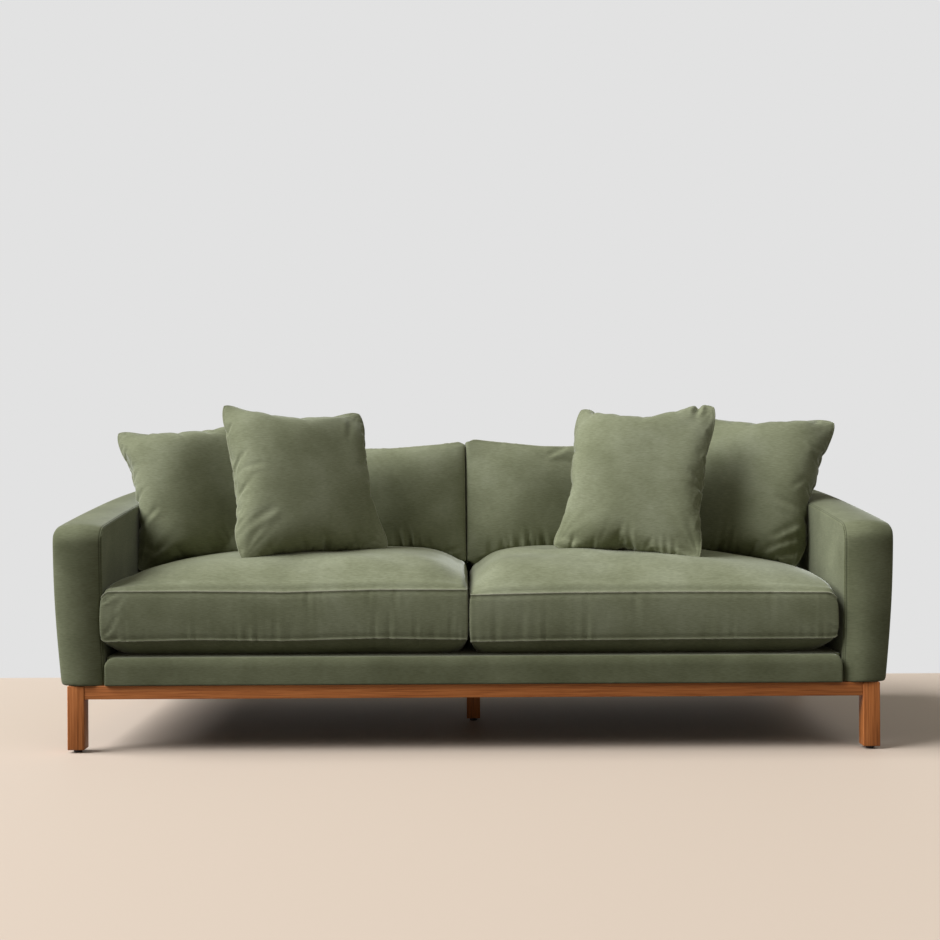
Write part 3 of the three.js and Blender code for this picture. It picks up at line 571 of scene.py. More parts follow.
# Arms: a padded velvet cover over a timber frame, pulled down and stapled under the base.
# The inner panel is sewn to the front and top panel with a seam and a line of stitching beside it.
# The top slopes up to the back, its front end is round, and the outer side bulges.
low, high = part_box("arm_cover_right")
arm_bottom = low[2]
arm_front = low[1]
arm_depth = high[1] - low[1]
arm_inner = low[0]
arm_outer = high[0]
arm_front_height = 0.605
arm_rise = 0.092
arm_rise_bend = 0.45
arm_bulge = 0.0215
arm_bulge_height = 0.351
arm_inner_swell = 0.0085
arm_swell_height = 0.22
arm_crown = 0.010
arm_nose_radius = 0.046
arm_front_bow = 0.020
arm_front_flare = 0.007
arm_flare_depth = 0.35
arm_across = (0, 0.012, 0.028, 0.047, 0.070, 0.093, 0.1125, 0.1345)
arm_front_steps = ((0, 0.008, 0.019, 0.033, 0.050, 0.070), (0, 0.020, 0.044, 0.065, 0.085, 0.110))
arm_top_steps = ((0.052, 0.033, 0.019, 0.008, 0), (0.090, 0.066, 0.045, 0.021, 0))
arm_rear_steps = (0.036, 0.014, 0)
arm_runs = 9
arm_rises = 5
arm_foot = (0.004, 0.018)
arm_bow_depth = 0.06
arm_seam_depth = 0.0015
arm_seam_painted_shade = 0.75


def arm_top(behind):
    t = behind / arm_depth
    return arm_front_height + arm_rise * t * (1 + arm_rise_bend - arm_rise_bend * t)


def arm_side_out(z):
    t = min(1, max(0, (z - arm_bottom) / arm_bulge_height))
    return arm_outer - arm_bulge * (1 - math.sin(t * math.pi / 2))


def arm_face_at(z):
    """The inner face stands a little further out from the foot up."""
    share = np.clip((z - arm_bottom) / arm_swell_height, 0, 1)
    return arm_inner + arm_inner_swell * np.sin(share * math.pi / 2)


def blend_steps(pair, across):
    return [a + (b - a) * across for a, b in zip(*pair)]


def arm_place(i, j, k):
    across = arm_across[i] / arm_across[-1]
    starts = blend_steps(arm_front_steps, across)
    last = len(starts) + arm_runs + len(arm_rear_steps) - 1
    if j < len(starts):
        behind = starts[j]
    elif j > last - len(arm_rear_steps):
        behind = arm_depth - arm_rear_steps[j - last - 1 + len(arm_rear_steps)]
    else:
        share = (j - len(starts) + 1) / (arm_runs + 1)
        behind = starts[-1] + (arm_depth - arm_rear_steps[0] - starts[-1]) * share
    roof = arm_top(behind) - arm_bottom
    foot = arm_foot[0] + (arm_foot[1] - arm_foot[0]) * across
    drops = blend_steps(arm_top_steps, across)
    rise = (roof - foot - drops[0]) / (arm_rises + 1)
    ups = [0, foot] + [foot + rise * n for n in range(1, arm_rises + 1)] + [roof - d for d in drops]
    up = ups[k]
    a = max(0, 1 - behind / arm_nose_radius)
    b = max(0, 1 - (roof - up) / arm_nose_radius)
    y = arm_front + behind + arm_nose_radius * a * (1 - math.sqrt(1 - b * b / 2))
    up -= arm_nose_radius * b * (1 - math.sqrt(1 - a * a / 2))
    z = arm_bottom + up
    level = min(1, up / roof)
    z -= arm_crown * (2 * across - 1) ** 2 * level ** 6
    inner = float(arm_face_at(z))
    flare = arm_front_flare * max(0, 1 - behind / arm_flare_depth)
    x = inner + (arm_side_out(z) + flare - inner) * across
    soft = 1 - (2 * across - 1) ** 2
    round_front = arm_front_bow * (1 - soft) * max(0, 1 - behind / arm_bow_depth)
    y += round_front * (1 - 0.5 * level ** 6)
    return x, y, z


arm_counts = (
    len(arm_across), len(arm_front_steps[0]) + arm_runs + len(arm_rear_steps),
    arm_rises + 2 + len(arm_top_steps[0]),
)


def on_arm_edge(j, k):
    return j == 0 or k == arm_counts[2] - 1


arm_marks = {
    "seam_line": lambda i, j, k: float(i == 0 and on_arm_edge(j, k)),
    "stitch_line": lambda i, j, k: float(i == 1 and on_arm_edge(j, k)),
}
both_sides = (("left", -1), ("right", 1))
for side, sign in both_sides:
    arm = upholstered(f"velvet_arm_{side}", arm_counts, arm_place, 3, arm_marks)
    seam = read_layer(arm, "seam_line")
    stitch = read_layer(arm, "stitch_line")
    behind = read_points(arm)[:, 1] - arm_front
    front_crest = seam[behind < 0.05].max()
    top_crest = seam[(behind > 0.15) & (behind < 0.7)].max()
    crest = np.where(behind < 0.075, front_crest, top_crest)
    sunk = np.clip((seam / crest - 0.86) / 0.14, 0, 1)
    sunk += 0.8 * bell((stitch / stitch.max() - 0.5) / 0.09) * (seam > 0.15 * seam.max())
    push_out(arm, -arm_seam_depth * sunk)
    if sign < 0:
        pick(arm)
        arm.scale = (-1, 1, 1)
        bpy.ops.object.transform_apply(location=True, rotation=True, scale=True)
        edit(bpy.ops.mesh.select_all, action="SELECT")
        edit(bpy.ops.mesh.normals_make_consistent, inside=False)
    # The sunk seam and stitch grooves are also darkened in the colour: painted shade.
    fit_pad(arm, cover_velvet_painted_shade, body, f"arm_cover_{side}", -arm_seam_painted_shade * sunk)

# Back: a padded velvet cover between the arms, leaning back in front and upright behind.
# The outside back is one panel, drawn tight over the frame and stapled under the rail.
low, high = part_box("back_cover")
back_deck_y = 0.345
back_top_y = 0.375
back_xs = spread(low[0], high[0], (0, 0.008, 0.022), 16)
back_shares = (0, 0.18, 0.5, 0.82, 1)
back_ups = (0, 0.008, 0.04, 0.085, 0.17, 0.27, 0.37, 0.455, 0.488, 0.5067)


def back_place(i, j, k):
    z = low[2] + back_ups[k]
    lean = (z - deck_top) / (high[2] - deck_top)
    front_y = back_deck_y + (back_top_y - back_deck_y) * max(0, lean)
    return back_xs[i], front_y + (high[1] - front_y) * back_shares[j], z


back = upholstered("velvet_back", (len(back_xs), len(back_shares), len(back_ups)), back_place, 3)
fit_pad(back, cover_velvet_painted_shade, body, "back_cover")


# Seat cushions: foam wrapped in down, in a velvet cover with a border between two seams.
# The crown is high and soft, and lower towards the arms. The border is gathered to the seams in
# upright folds, with a tuck at each corner. The belly lies flat on the deck.
def lines(length, step):
    """Places across a panel from -1 to 1, close together at the seams and a step apart between."""
    close = [0, 0.0014, 0.0036, 0.0075, 0.013]
    count = max(2, round((length - 2 * close[-1]) / step))
    middle = np.linspace(close[-1], length - close[-1], count + 1)
    return np.concatenate([close[:-1], middle, [length - c for c in close[-2::-1]]]) / length * 2 - 1


def round_walk(nu, nv):
    """Grid places round a panel's edge, from its first corner along u."""
    walk = [(i, 0) for i in range(nu - 1)]
    walk += [(nu - 1, j) for j in range(nv - 1)]
    walk += [(i, nv - 1) for i in range(nu - 1, 0, -1)]
    walk += [(0, j) for j in range(nv - 1, 0, -1)]
    return np.array(walk)


def panel_faces(index, flip):
    a, b, c, d = index[:-1, :-1], index[1:, :-1], index[1:, 1:], index[:-1, 1:]
    ring = (a, d, c, b) if flip else (a, b, c, d)
    return np.stack([part.ravel() for part in ring], 1)


def ripple(along, wave, seed):
    """Uneven waves of about one wavelength along a seam, the same on every run."""
    k = 2 * math.pi / wave
    parts = [
        np.sin(along * k * share + seed * shift) for share, shift in
        ((1.0, 1.7), (0.73, 4.1), (1.31, 2.3), (0.51, 5.9))
    ]
    return sum(parts) / 2.4


def clusters(along, wave, seed):
    """Where the gathers bunch up, from 0 to 1."""
    return np.clip(0.5 + 0.75 * ripple(along, wave, seed), 0, 1) ** 1.5


def furrows(along, away, spots):
    """Folds that start at a seam: each has its place, depth, width and length."""
    total = np.zeros_like(along)
    for place, depth, width, length in spots:
        across = (along - place) / width
        fold = 0.6 * bell(across - 1.9) + 0.4 * bell(across + 1.9)
        total += depth * (fold - bell(across)) * bell(away / length)
    return total


def crease(p, q, start, end, depth, width):
    """A sharp fold between two places on a panel, sunk along its line and raised beside it."""
    (x0, y0), (x1, y1) = start, end
    dx, dy = x1 - x0, y1 - y0
    length = math.hypot(dx, dy)
    run = ((p - x0) * dx + (q - y0) * dy) / length ** 2
    side = ((p - x0) * dy - (q - y0) * dx) / length / width
    ends = np.exp(-((np.abs(run - 0.5) / 0.5) ** 4))
    return depth * ends * (0.7 * bell(side - 1.7) - bell(side))


def clear_of(points, tree, gap, reach):
    """Moves the points that lie inside a neighbour out onto its surface."""
    moved = points.copy()
    for n, point in enumerate(points):
        spot, normal, face, distance = tree.find_nearest(Vector(point), reach)
        if spot is None:
            continue
        if (Vector(point) - spot).dot(normal) < gap:
            moved[n] = spot + normal * gap
    return moved


def tree_of(piece):
    mesh = piece.data
    corners = [v.co for v in mesh.vertices]
    return BVHTree.FromPolygons(corners, [list(f.vertices) for f in mesh.polygons])


def beside_split(points, sign, softness, gap):
    """Presses two neighbours flat against each other at the split, with a soft edge.

    The split leans a little over the crown, and stands upright again where the backs stand.
    """
    x, y, z = points.T
    rear = np.clip((y - 0.05) / 0.06, 0, 1)
    split = split_place + split_lean * np.clip((z - 0.43) / 0.06, 0, 1) * (1 - rear)
    split = split + rear * (split_back - split_place) + split_slant * np.clip(y - 0.11, 0, None)
    room = sign * (x - split) / softness
    moved = points.copy()
    moved[:, 0] = split + sign * (gap + softness * np.logaddexp(0, room))
    return moved


touch_gap = 0.0004
split_place = -0.012
split_lean = 0.009
split_back = -0.0150
split_slant = -0.06
seat_border = 0.130
seat_middle = deck_top + 0.040 + seat_border / 2
seat_crown = 0.097
seat_belly = 0.075
seat_puff = 0.005
seat_corner_drop = 0.016
seat_corner_raise = 0.007
seat_draw = 0.004
seat_corner_ease = 0.004
seat_fold = 0.0012
seat_fold_wave = 0.0135
seat_top_roll = 0.004
seat_slack = 0.0035
seat_front_bulge = 0.006
seam_wear_and_highlight_width = 0.0011
seat_front = -0.468
seat_rear = 0.3397
grid_step = 0.0075


def boxed_cushion(form, matrix):
    """Points, faces and seam facts of a cushion with a border, in its own axes and then placed."""
    width, length, border = form["width"], form["length"], form["border"]
    us = lines(width, grid_step)
    vs = lines(length, grid_step)
    ts = (lines(border, 0.0065) + 1) / 2
    u, v = np.meshgrid(us, vs, indexing="ij")
    ease = form["ease"](u, v) * np.abs(u * v) ** form["ease_power"]
    x = u * (width / 2 - form["draw"] * (1 - v * v)) - np.sign(u) * ease
    y = v * (length / 2 - form["draw"] * (1 - u * u)) - np.sign(v) * ease
    seam_top, seam_bottom = form["seams"](u, v)
    roof = border / 2 + seam_top + form["crown"] * form["dome"](u, v)
    floor = -border / 2 + seam_bottom - form["belly"] * form["under"](u, v)
    top = np.stack([x + form["swell"](u, v), y, roof], -1)
    bottom = np.stack([x, y, floor], -1)
    walk = round_walk(len(us), len(vs))
    round_edge = (walk[:, 0], walk[:, 1])
    upper, lower = top[round_edge], bottom[round_edge]
    ahead = np.roll(upper, -1, 0) - np.roll(upper, 1, 0)
    out = np.stack([ahead[:, 1], -ahead[:, 0], np.zeros(len(ahead))], 1)
    out /= np.linalg.norm(out, axis=1)[:, None]
    for turn in range(4):
        out = (np.roll(out, 1, 0) + out * 2 + np.roll(out, -1, 0)) / 4
    out /= np.linalg.norm(out, axis=1)[:, None]
    inner_ts = ts[1:-1]
    border_rows = np.stack([
        upper * (1 - t) + lower * t + out * form["puff"] * (4 * t * (1 - t)) ** 0.8 for t in inner_ts
    ])
    step = np.linalg.norm(upper - np.roll(upper, 1, 0), axis=1)
    along = np.cumsum(step) - step[0]
    n_top = top.shape[0] * top.shape[1]
    top_index = np.arange(n_top).reshape(top.shape[:2])
    bottom_index = top_index + n_top
    row_index = np.arange(border_rows[..., 0].size).reshape(border_rows.shape[:2]) + 2 * n_top
    ring = np.vstack([top_index[round_edge][None], row_index, bottom_index[round_edge][None]])
    ring = np.hstack([ring, ring[:, :1]])
    faces = np.vstack([
        panel_faces(top_index, False), panel_faces(bottom_index, True), panel_faces(ring, False),
    ])
    points = np.vstack([part.reshape(-1, 3) for part in (top, bottom, border_rows)])
    near_u = (1 - np.abs(u)) * width / 2
    near_v = (1 - np.abs(v)) * length / 2
    inset = np.minimum(near_u, near_v)
    panel_along = np.where(
        near_v <= near_u,
        np.where(v < 0, (u + 1) * width / 2, width * 1.5 + length + (1 - u) * width / 2),
        np.where(u > 0, width + (v + 1) * length / 2, 2 * width + length + (1 - v) * length / 2),
    )

    def joined(top, bottom, border):
        return np.concatenate([top.ravel(), bottom.ravel(), border.ravel()])

    def around(values):
        return np.tile(values, len(inner_ts))

    def down(values):
        return np.repeat(values, len(walk))

    facts = {
        "part": joined(np.zeros(n_top), np.ones(n_top), np.full(border_rows[..., 0].size, 2)),
        "seam_gap": joined(inset, inset, down(np.minimum(inner_ts, 1 - inner_ts) * border)),
        "below_top": joined(-inset, border + inset, down(inner_ts * border)),
        "along": joined(panel_along, panel_along, around(along)),
        "u": joined(u, u, around(u[round_edge])),
        "v": joined(v, v, around(v[round_edge])),
    }
    rotation = np.array(matrix.to_3x3())
    points = points @ rotation.T + np.array(matrix.translation)
    return points, faces, facts


def seam_profile(gap):
    """How a sewn seam stands: a narrow ridge with a shallow valley on each side."""
    return 0.0011 * bell(gap / 0.0014) - 0.0016 * bell((gap - 0.0055) / 0.0036)


# Each seat cushion's ends across the sofa, the height of its seams at five stations, how far its
# crown sinks towards the arm ("slump", and "fall" at the very end) and at the split ("notch"), and
# how far it swells over the split. Folds rise from the lower seam, hang from the upper one, or are
# tucks at the outer corner. Each has a place, depth, width and length.
stations = np.linspace(-1, 1, 5)
seat_facts = {
    "left": {
        "ends": (-1.0005, -0.0075), "slump": 0.55, "fall": 0.22, "notch": (0.68, 7), "swell": 0.004,
        "top": (0.007, 0.006, 0.002, 0.008, 0.007), "bottom": (0.002, 0.007, 0.003, 0.009, 0.004),
        "rising": (
            (-0.603, 0.0016, 0.006, 0.030), (-0.574, 0.0012, 0.006, 0.035),
            (-0.531, 0.0014, 0.006, 0.045), (-0.486, 0.0016, 0.007, 0.050),
            (-0.265, 0.0018, 0.006, 0.070), (-0.225, 0.0020, 0.006, 0.070),
            (-0.155, 0.0022, 0.005, 0.050), (-0.105, 0.0014, 0.007, 0.030),
            (-0.0585, 0.0018, 0.006, 0.070), (-0.042, 0.0016, 0.006, 0.045),
        ),
        "hanging": (
            (-0.441, 0.0022, 0.006, 0.050), (-0.422, 0.0015, 0.005, 0.060), (-0.406, 0.0015, 0.006, 0.045),
            (-0.209, 0.0015, 0.006, 0.050), (-0.278, 0.0012, 0.006, 0.050),
        ),
        "tucks": (
            ((-0.990, 0.401), (-0.955, 0.424), 0.0050, 0.0035),
            ((-0.952, 0.382), (-0.930, 0.420), 0.0018, 0.0045),
            ((-0.987, 0.312), (-0.958, 0.336), 0.0040, 0.0035),
            ((-0.970, 0.330), (-0.946, 0.366), 0.0024, 0.004),
            ((-0.968, 0.300), (-0.935, 0.310), 0.0024, 0.0035),
        ),
    },
    "right": {
        "ends": (-0.0165, 0.979), "slump": 0.60, "fall": 0, "notch": (0.92, 9), "swell": 0.008,
        "top": (-0.007, -0.003, -0.002, -0.003, -0.005), "bottom": (-0.002, 0.001, 0.002, 0.003, 0.003),
        "rising": (
            (0.0573, 0.0010, 0.010, 0.080), (0.1265, 0.0012, 0.008, 0.090), (0.189, 0.0014, 0.007, 0.090),
            (0.203, 0.0010, 0.008, 0.090), (0.300, 0.0010, 0.008, 0.090), (0.62, 0.0009, 0.009, 0.050),
        ),
        "hanging": ((0.43, 0.0010, 0.009, 0.060), (0.79, 0.0010, 0.008, 0.050)),
        "tucks": (
            ((0.972, 0.395), (0.945, 0.416), 0.0025, 0.0035),
            ((0.972, 0.316), (0.948, 0.334), 0.0020, 0.0035),
        ),
    },
}
seat_trees = {}
for side, sign in both_sides:
    fact = seat_facts[side]
    width = fact["ends"][1] - fact["ends"][0] - 2 * seat_puff
    length = seat_rear - seat_front

    def seams(u, v):
        fade = np.clip((1 - v) / 2, 0, 1) ** 2
        near = bell((v + 1) * length / 2 / 0.05)
        drop = seat_corner_drop * np.clip(1 - (1 - sign * u) * width / 2 / 0.026, 0, 1) ** 2.2 * near
        raised = seat_corner_raise * np.clip(1 - (1 - sign * u) * width / 2 / 0.014, 0, 1) ** 2 * near
        high = np.interp(u, stations, fact["top"]) * fade - drop
        return high, np.interp(u, stations, fact["bottom"]) * fade + raised

    def dome(u, v):
        arm_side = np.clip(sign * u, 0, 1)
        split_side = np.clip(-sign * u, 0, 1)
        across = 1 - fact["slump"] * arm_side ** 1.9 - fact["fall"] * arm_side ** 5.5
        across = np.maximum(across, 0) * (1 - arm_side ** 24) ** 0.5
        across = across * (1 - fact["notch"][0] * split_side ** fact["notch"][1])
        across = across * (1 - split_side ** 90) ** 0.5
        return across * (1 - np.abs(v) ** 3.2) ** 0.8

    def swell(u, v):
        split_side = np.clip(-sign * u, 0, 1)
        return -sign * fact["swell"] * (split_side ** 40 - split_side ** 200) * (1 - np.abs(v) ** 8)

    def under(u, v):
        arm_side = np.clip(sign * u, 0, 1)
        split_side = np.clip(-sign * u, 0, 1)
        across = (1 - arm_side ** 9) ** 0.6 * (1 - split_side ** 16) ** 0.6
        return across * (1 - np.abs(v) ** 6)

    form = {
        "width": width, "length": length, "border": seat_border, "draw": seat_draw,
        "ease": lambda u, v: seat_corner_ease, "ease_power": 14, "puff": seat_puff,
        "crown": seat_crown, "belly": seat_belly,
        "dome": dome, "under": under, "swell": swell, "seams": seams,
    }
    middle = (sum(fact["ends"]) / 2, (seat_front + seat_rear) / 2, seat_middle)
    points, faces, facts = boxed_cushion(form, Matrix.Translation(middle))
    cushion = from_arrays(f"seat_cushion_velvet_{side}", points, faces)
    gap = facts["seam_gap"]
    along = facts["along"]
    seed = 3.1 if sign < 0 else 7.7
    below = facts["below_top"]
    on_top = facts["part"] == 0
    on_belly = facts["part"] == 1
    on_border = facts["part"] == 2
    in_front = points[:, 1] < seat_front + 0.03
    bunch_ahead = 0.3 + 0.8 * clusters(along, 0.16, seed)
    bunch = np.where(in_front, bunch_ahead, 0.25 + clusters(along, 0.21, seed))
    folds = seat_fold * ripple(along, seat_fold_wave, seed) * bunch
    amount = np.where(on_border, folds * np.exp(-np.abs(below - seat_border) / 0.035), 0)
    amount += np.where(on_border, 0.5 * folds * np.exp(-np.abs(below) / 0.02), 0)
    over_foot = below - seat_border
    rising = furrows(points[:, 0] + 0.06 * over_foot, np.abs(over_foot), fact["rising"])
    hanging = furrows(points[:, 0] - 0.08 * below, np.abs(below), fact["hanging"])
    tucks = sum(crease(points[:, 0], points[:, 2], *tuck) for tuck in fact["tucks"])
    amount += np.where(in_front & on_border, rising + hanging + tucks, 0)
    amount += np.where(in_front & on_belly, 0.8 * rising, 0)
    amount += np.where(on_belly, 0.8 * folds * np.exp(-gap / 0.03), 0)
    amount += np.where(on_top, 0.35 * folds * np.exp(-gap / 0.014), 0)
    amount += seam_profile(gap)
    amount += np.where(on_top, seat_top_roll * bell((gap - 0.016) / 0.010), 0)
    slack = ripple(points[:, 0] + 0.4 * points[:, 1], 0.31, seed)
    slack = slack * ripple(points[:, 1], 0.27, seed + 2)
    amount += np.where(on_top, seat_slack * slack * np.clip(gap / 0.1, 0, 1), 0)
    push_out(cushion, amount)
    points = read_points(cushion)
    points[:, 2] = np.maximum(points[:, 2], deck_top + touch_gap)
    bulge = seat_front_bulge * np.clip((-0.450 - points[:, 1]) / 0.016, 0, 1) ** 2
    wall_x = arm_face_at(points[:, 2]) - touch_gap + bulge
    points[:, 0] = np.clip(points[:, 0], -wall_x, wall_x)
    points = beside_split(points, sign, 0.0016, 0.0006)
    write_points(cushion, points)
    # A pale painted highlight along each seam's ridge, where the pile is also rubbed.
    seam_wear_and_highlight = 0.6 * bell(gap / seam_wear_and_highlight_width)
    node = f"seat_cushion_{side}"
    fit_pad(cushion, cushion_velvet, f"seat_{side}", node, seam_wear_and_highlight)
    seat_trees[side] = tree_of(cushion)

# Back cushions: the same cover over loose fill, standing on the seat cushions and leaning on the
# back. They have a wide border, soft round corners, and gathers where they stand. "top" is the
# height of the top edge along the cushion, and "press" is where a pillow sinks the front.
back_cushion_height = 0.386
back_cushion_border = 0.150
back_cushion_lift = 0.634
back_cushion_y = 0.262
back_cushion_lean = math.radians(8)
back_cushion_puff = 0.005
back_cushion_draw = 0.004
back_cushion_crown = 0.058
back_cushion_belly = 0.034
back_cushion_corner = 0.014
back_cushion_fold = 0.0014
back_cushion_fold_wave = 0.024
back_cushion_slack = 0.003
split_corner = 0.045
seat_horizon = 0.512
back_cushion_facts = {
    "left": {
        "ends": (-0.988, 0.002),
        "top": (
            (-1, -0.012), (0, -0.014), (0.5, -0.013), (0.8, -0.003), (0.9, 0.003), (1, 0.011),
        ),
        "gathers": (
            (-0.2125, 0.011, 0.006, 0.034), (-0.181, 0.010, 0.007, 0.042),
            (-0.155, 0.007, 0.006, 0.026), (-0.28, 0.004, 0.009, 0.030),
            (-0.118, 0.004, 0.007, 0.018), (-0.070, 0.004, 0.007, 0.014),
        ),
        "press": (-0.50, 0.105, 0),
        "tucks": (
            ((-0.100, 0.489), (-0.045, 0.503), 0.006, 0.005),
            ((-0.085, 0.474), (-0.035, 0.483), 0.005, 0.005),
        ),
    },
    "right": {
        "ends": (-0.037, 0.988),
        "top": (
            (-1, 0.021), (-0.93, 0.013), (-0.85, 0.007), (-0.5, -0.009), (0, -0.008), (1, -0.004),
        ),
        "gathers": (
            (0.062, 0.003, 0.008, 0.012), (0.101, 0.006, 0.006, 0.018),
            (0.121, 0.004, 0.005, 0.034), (0.149, 0.006, 0.009, 0.024),
            (0.184, 0.008, 0.006, 0.038), (0.203, 0.005, 0.005, 0.020),
            (0.229, 0.007, 0.009, 0.034),
        ),
        "press": (0.120, 0.300, 0.030),
        "tucks": (
            ((0.045, 0.476), (0.010, 0.470), 0.003, 0.005),
            ((0.235, 0.800), (0.300, 0.826), 0.004, 0.007),
        ),
    },
}
back_trees = {}
back_tree = tree_of(back)


def settle(piece, trees, rounds=2, limit=None):
    """Presses a soft piece against its neighbours and evens out what was pressed."""
    points = read_points(piece)
    edges = np.zeros(len(piece.data.edges) * 2, int)
    piece.data.edges.foreach_get("vertices", edges)
    edges = edges.reshape(-1, 2)
    degree = np.bincount(edges.ravel(), minlength=len(points))[:, None]
    for turn in range(rounds):
        before = points.copy()
        if limit:
            points = limit(points)
        for tree in trees:
            points = clear_of(points, tree, touch_gap, 0.15)
        if turn + 1 == rounds:
            break
        changed = np.linalg.norm(points - before, axis=1) > 0.0005
        for again in range(6):
            total = np.zeros_like(points)
            np.add.at(total, edges[:, 0], points[edges[:, 1]])
            np.add.at(total, edges[:, 1], points[edges[:, 0]])
            points = np.where(changed[:, None], points * 0.5 + total / degree * 0.5, points)
    write_points(piece, points)


def between_arms(points):
    """Keeps a soft piece off the arms: inside their faces, and free of them above their tops."""
    moved = points.copy()
    roof = arm_top(np.clip(points[:, 1] - arm_front, 0, arm_depth))
    over = np.clip((points[:, 2] - roof + 0.012) / 0.012, 0, None)
    wall = arm_face_at(points[:, 2]) - touch_gap + 0.012 * over ** 2
    moved[:, 0] = np.clip(points[:, 0], -wall, wall)
    return moved


def pressed_in(place, start, reach, depth):
    """How deep a neighbour presses: nothing up to the start, then softly down to the depth."""
    share = np.clip((place - start) / reach, 0, 1)
    return depth * share ** 2 * (3 - 2 * share)


for side, sign in both_sides:
    fact = back_cushion_facts[side]
    width = fact["ends"][1] - fact["ends"][0] - 2 * back_cushion_puff

    def level_seams(u, v):
        return np.zeros_like(u), np.zeros_like(u)

    def dome(u, v):
        return (1 - np.abs(u) ** 4.5) ** 0.75 * (1 - np.abs(v) ** 2.8) ** 0.8

    def ease(u, v):
        return np.where(sign * u < 0, split_corner * np.abs(u * v) ** 30, back_cushion_corner)

    form = {
        "width": width, "length": back_cushion_height, "border": back_cushion_border,
        "draw": back_cushion_draw,
        "ease": ease, "ease_power": 9,
        "puff": back_cushion_puff, "crown": back_cushion_crown, "belly": back_cushion_belly,
        "dome": dome, "under": dome, "swell": lambda u, v: 0, "seams": level_seams,
    }
    middle = (sum(fact["ends"]) / 2, back_cushion_y, back_cushion_lift)
    stand = Matrix.Translation(middle) @ Matrix.Rotation(math.pi / 2 - back_cushion_lean, 4, "X")
    points, faces, facts = boxed_cushion(form, stand)
    upward = np.clip(facts["v"], 0, 1) ** 3
    points[:, 2] += np.interp(facts["u"], *zip(*fact["top"])) * upward
    cushion = from_arrays(f"back_cushion_velvet_{side}", points, faces)
    gap = facts["seam_gap"]
    along = facts["along"]
    seed = 2.2 if sign < 0 else 5.3
    folds = back_cushion_fold * ripple(along, back_cushion_fold_wave, seed)
    folds = folds * (0.2 + clusters(along, 0.2, seed))
    foot = facts["v"] < -0.5
    ahead = facts["part"] == 0
    up = (facts["v"] + 1) * back_cushion_height / 2
    amount = np.where(foot & ahead, folds * np.exp(-gap / 0.045), 0)
    amount += np.where(~foot, 0.5 * folds * np.exp(-gap / 0.025), 0)
    above_seat = np.clip(points[:, 2] - seat_horizon, 0, 1)
    gathers = furrows(points[:, 0] + 0.15 * up, above_seat, fact["gathers"])
    tucks = sum(crease(points[:, 0], points[:, 2], *tuck) for tuck in fact["tucks"])
    pressed = pressed_in(points[:, 0], *fact["press"]) * np.clip(gap / 0.05, 0, 1)
    amount += np.where(ahead, gathers + tucks - pressed, 0)
    amount += 0.7 * seam_profile(gap)
    slack = ripple(points[:, 0] + 0.3 * points[:, 2], 0.23, seed)
    slack = slack * ripple(points[:, 2], 0.19, seed + 1)
    amount += np.where(ahead, back_cushion_slack * slack * np.clip(gap / 0.08, 0, 1), 0)
    push_out(cushion, amount)
    settle(cushion, [seat_trees[side], back_tree], limit=between_arms)
    write_points(cushion, beside_split(read_points(cushion), sign, 0.0040, 0.0016))
    # A pale painted highlight along each seam's ridge, where the pile is also rubbed.
    seam_wear_and_highlight = 0.25 * bell(gap / 0.0013)
    node = f"back_cushion_{side}"
    fit_pad(cushion, cushion_velvet, f"back_{side}", node, seam_wear_and_highlight)
    back_trees[side] = tree_of(cushion)

# Throw pillows: two square panels of velvet sewn face to face and filled with down.
# Blowing up the flat panels puckers the seam, draws the sides in and leaves an ear at each corner,
# so the form comes from a cloth simulation. It is then turned another way for each pillow.
pillow_size = 0.450
pillow_cut = 0.475
pillow_thickness = 0.196
pillow_cells = 80
crease_share = 0.6
ear_thinness = 0.55
ear_reach = 0.30
pillow_frames = 20
pillow_welt = 0.0016
pillow_welt_width = 0.0015


def flat_pillow():
    """Two panels that share their edge, with their corners cut round, a finger apart."""
    spacing = np.linspace(-1, 1, pillow_cells + 1)
    spacing = spacing + 0.16 * np.sin(spacing * math.pi) / math.pi * 2
    u, v = np.meshgrid(spacing, spacing, indexing="ij")
    ease = 0.009 * np.abs(u * v) ** 9
    x = u * pillow_cut / 2 - np.sign(u) * ease
    y = v * pillow_cut / 2 - np.sign(v) * ease
    puff = 0.02 * np.sqrt((1 - u * u) * (1 - v * v))
    uneven = 0.0004 * ripple(u * 3.1 + v * 1.7, 0.37, 1.3)
    uneven = uneven + 0.0004 * ripple(v * 2.9 - u * 1.3, 0.29, 2.1)
    front = np.stack([x, y, puff + uneven], -1).reshape(-1, 3)
    rear = np.stack([x, y, -puff + uneven], -1).reshape(-1, 3)
    edge = (np.abs(u) > 0.9999) | (np.abs(v) > 0.9999)
    front_index = np.arange(u.size).reshape(u.shape)
    rear_index = front_index.copy()
    rear_index[~edge] = u.size + np.arange((~edge).sum())
    points = np.vstack([front, rear[~edge.ravel()]])
    faces = np.vstack([panel_faces(front_index, False), panel_faces(rear_index, True)])
    inset = (1 - np.maximum(np.abs(u), np.abs(v))) * pillow_cut / 2
    inset = np.concatenate([inset.ravel(), inset[~edge]])
    full = ((1 - u * u) * (1 - v * v)) ** 0.42
    full = np.concatenate([full.ravel(), -full[~edge]])
    return points, faces, inset, full, (front_index, rear_index)


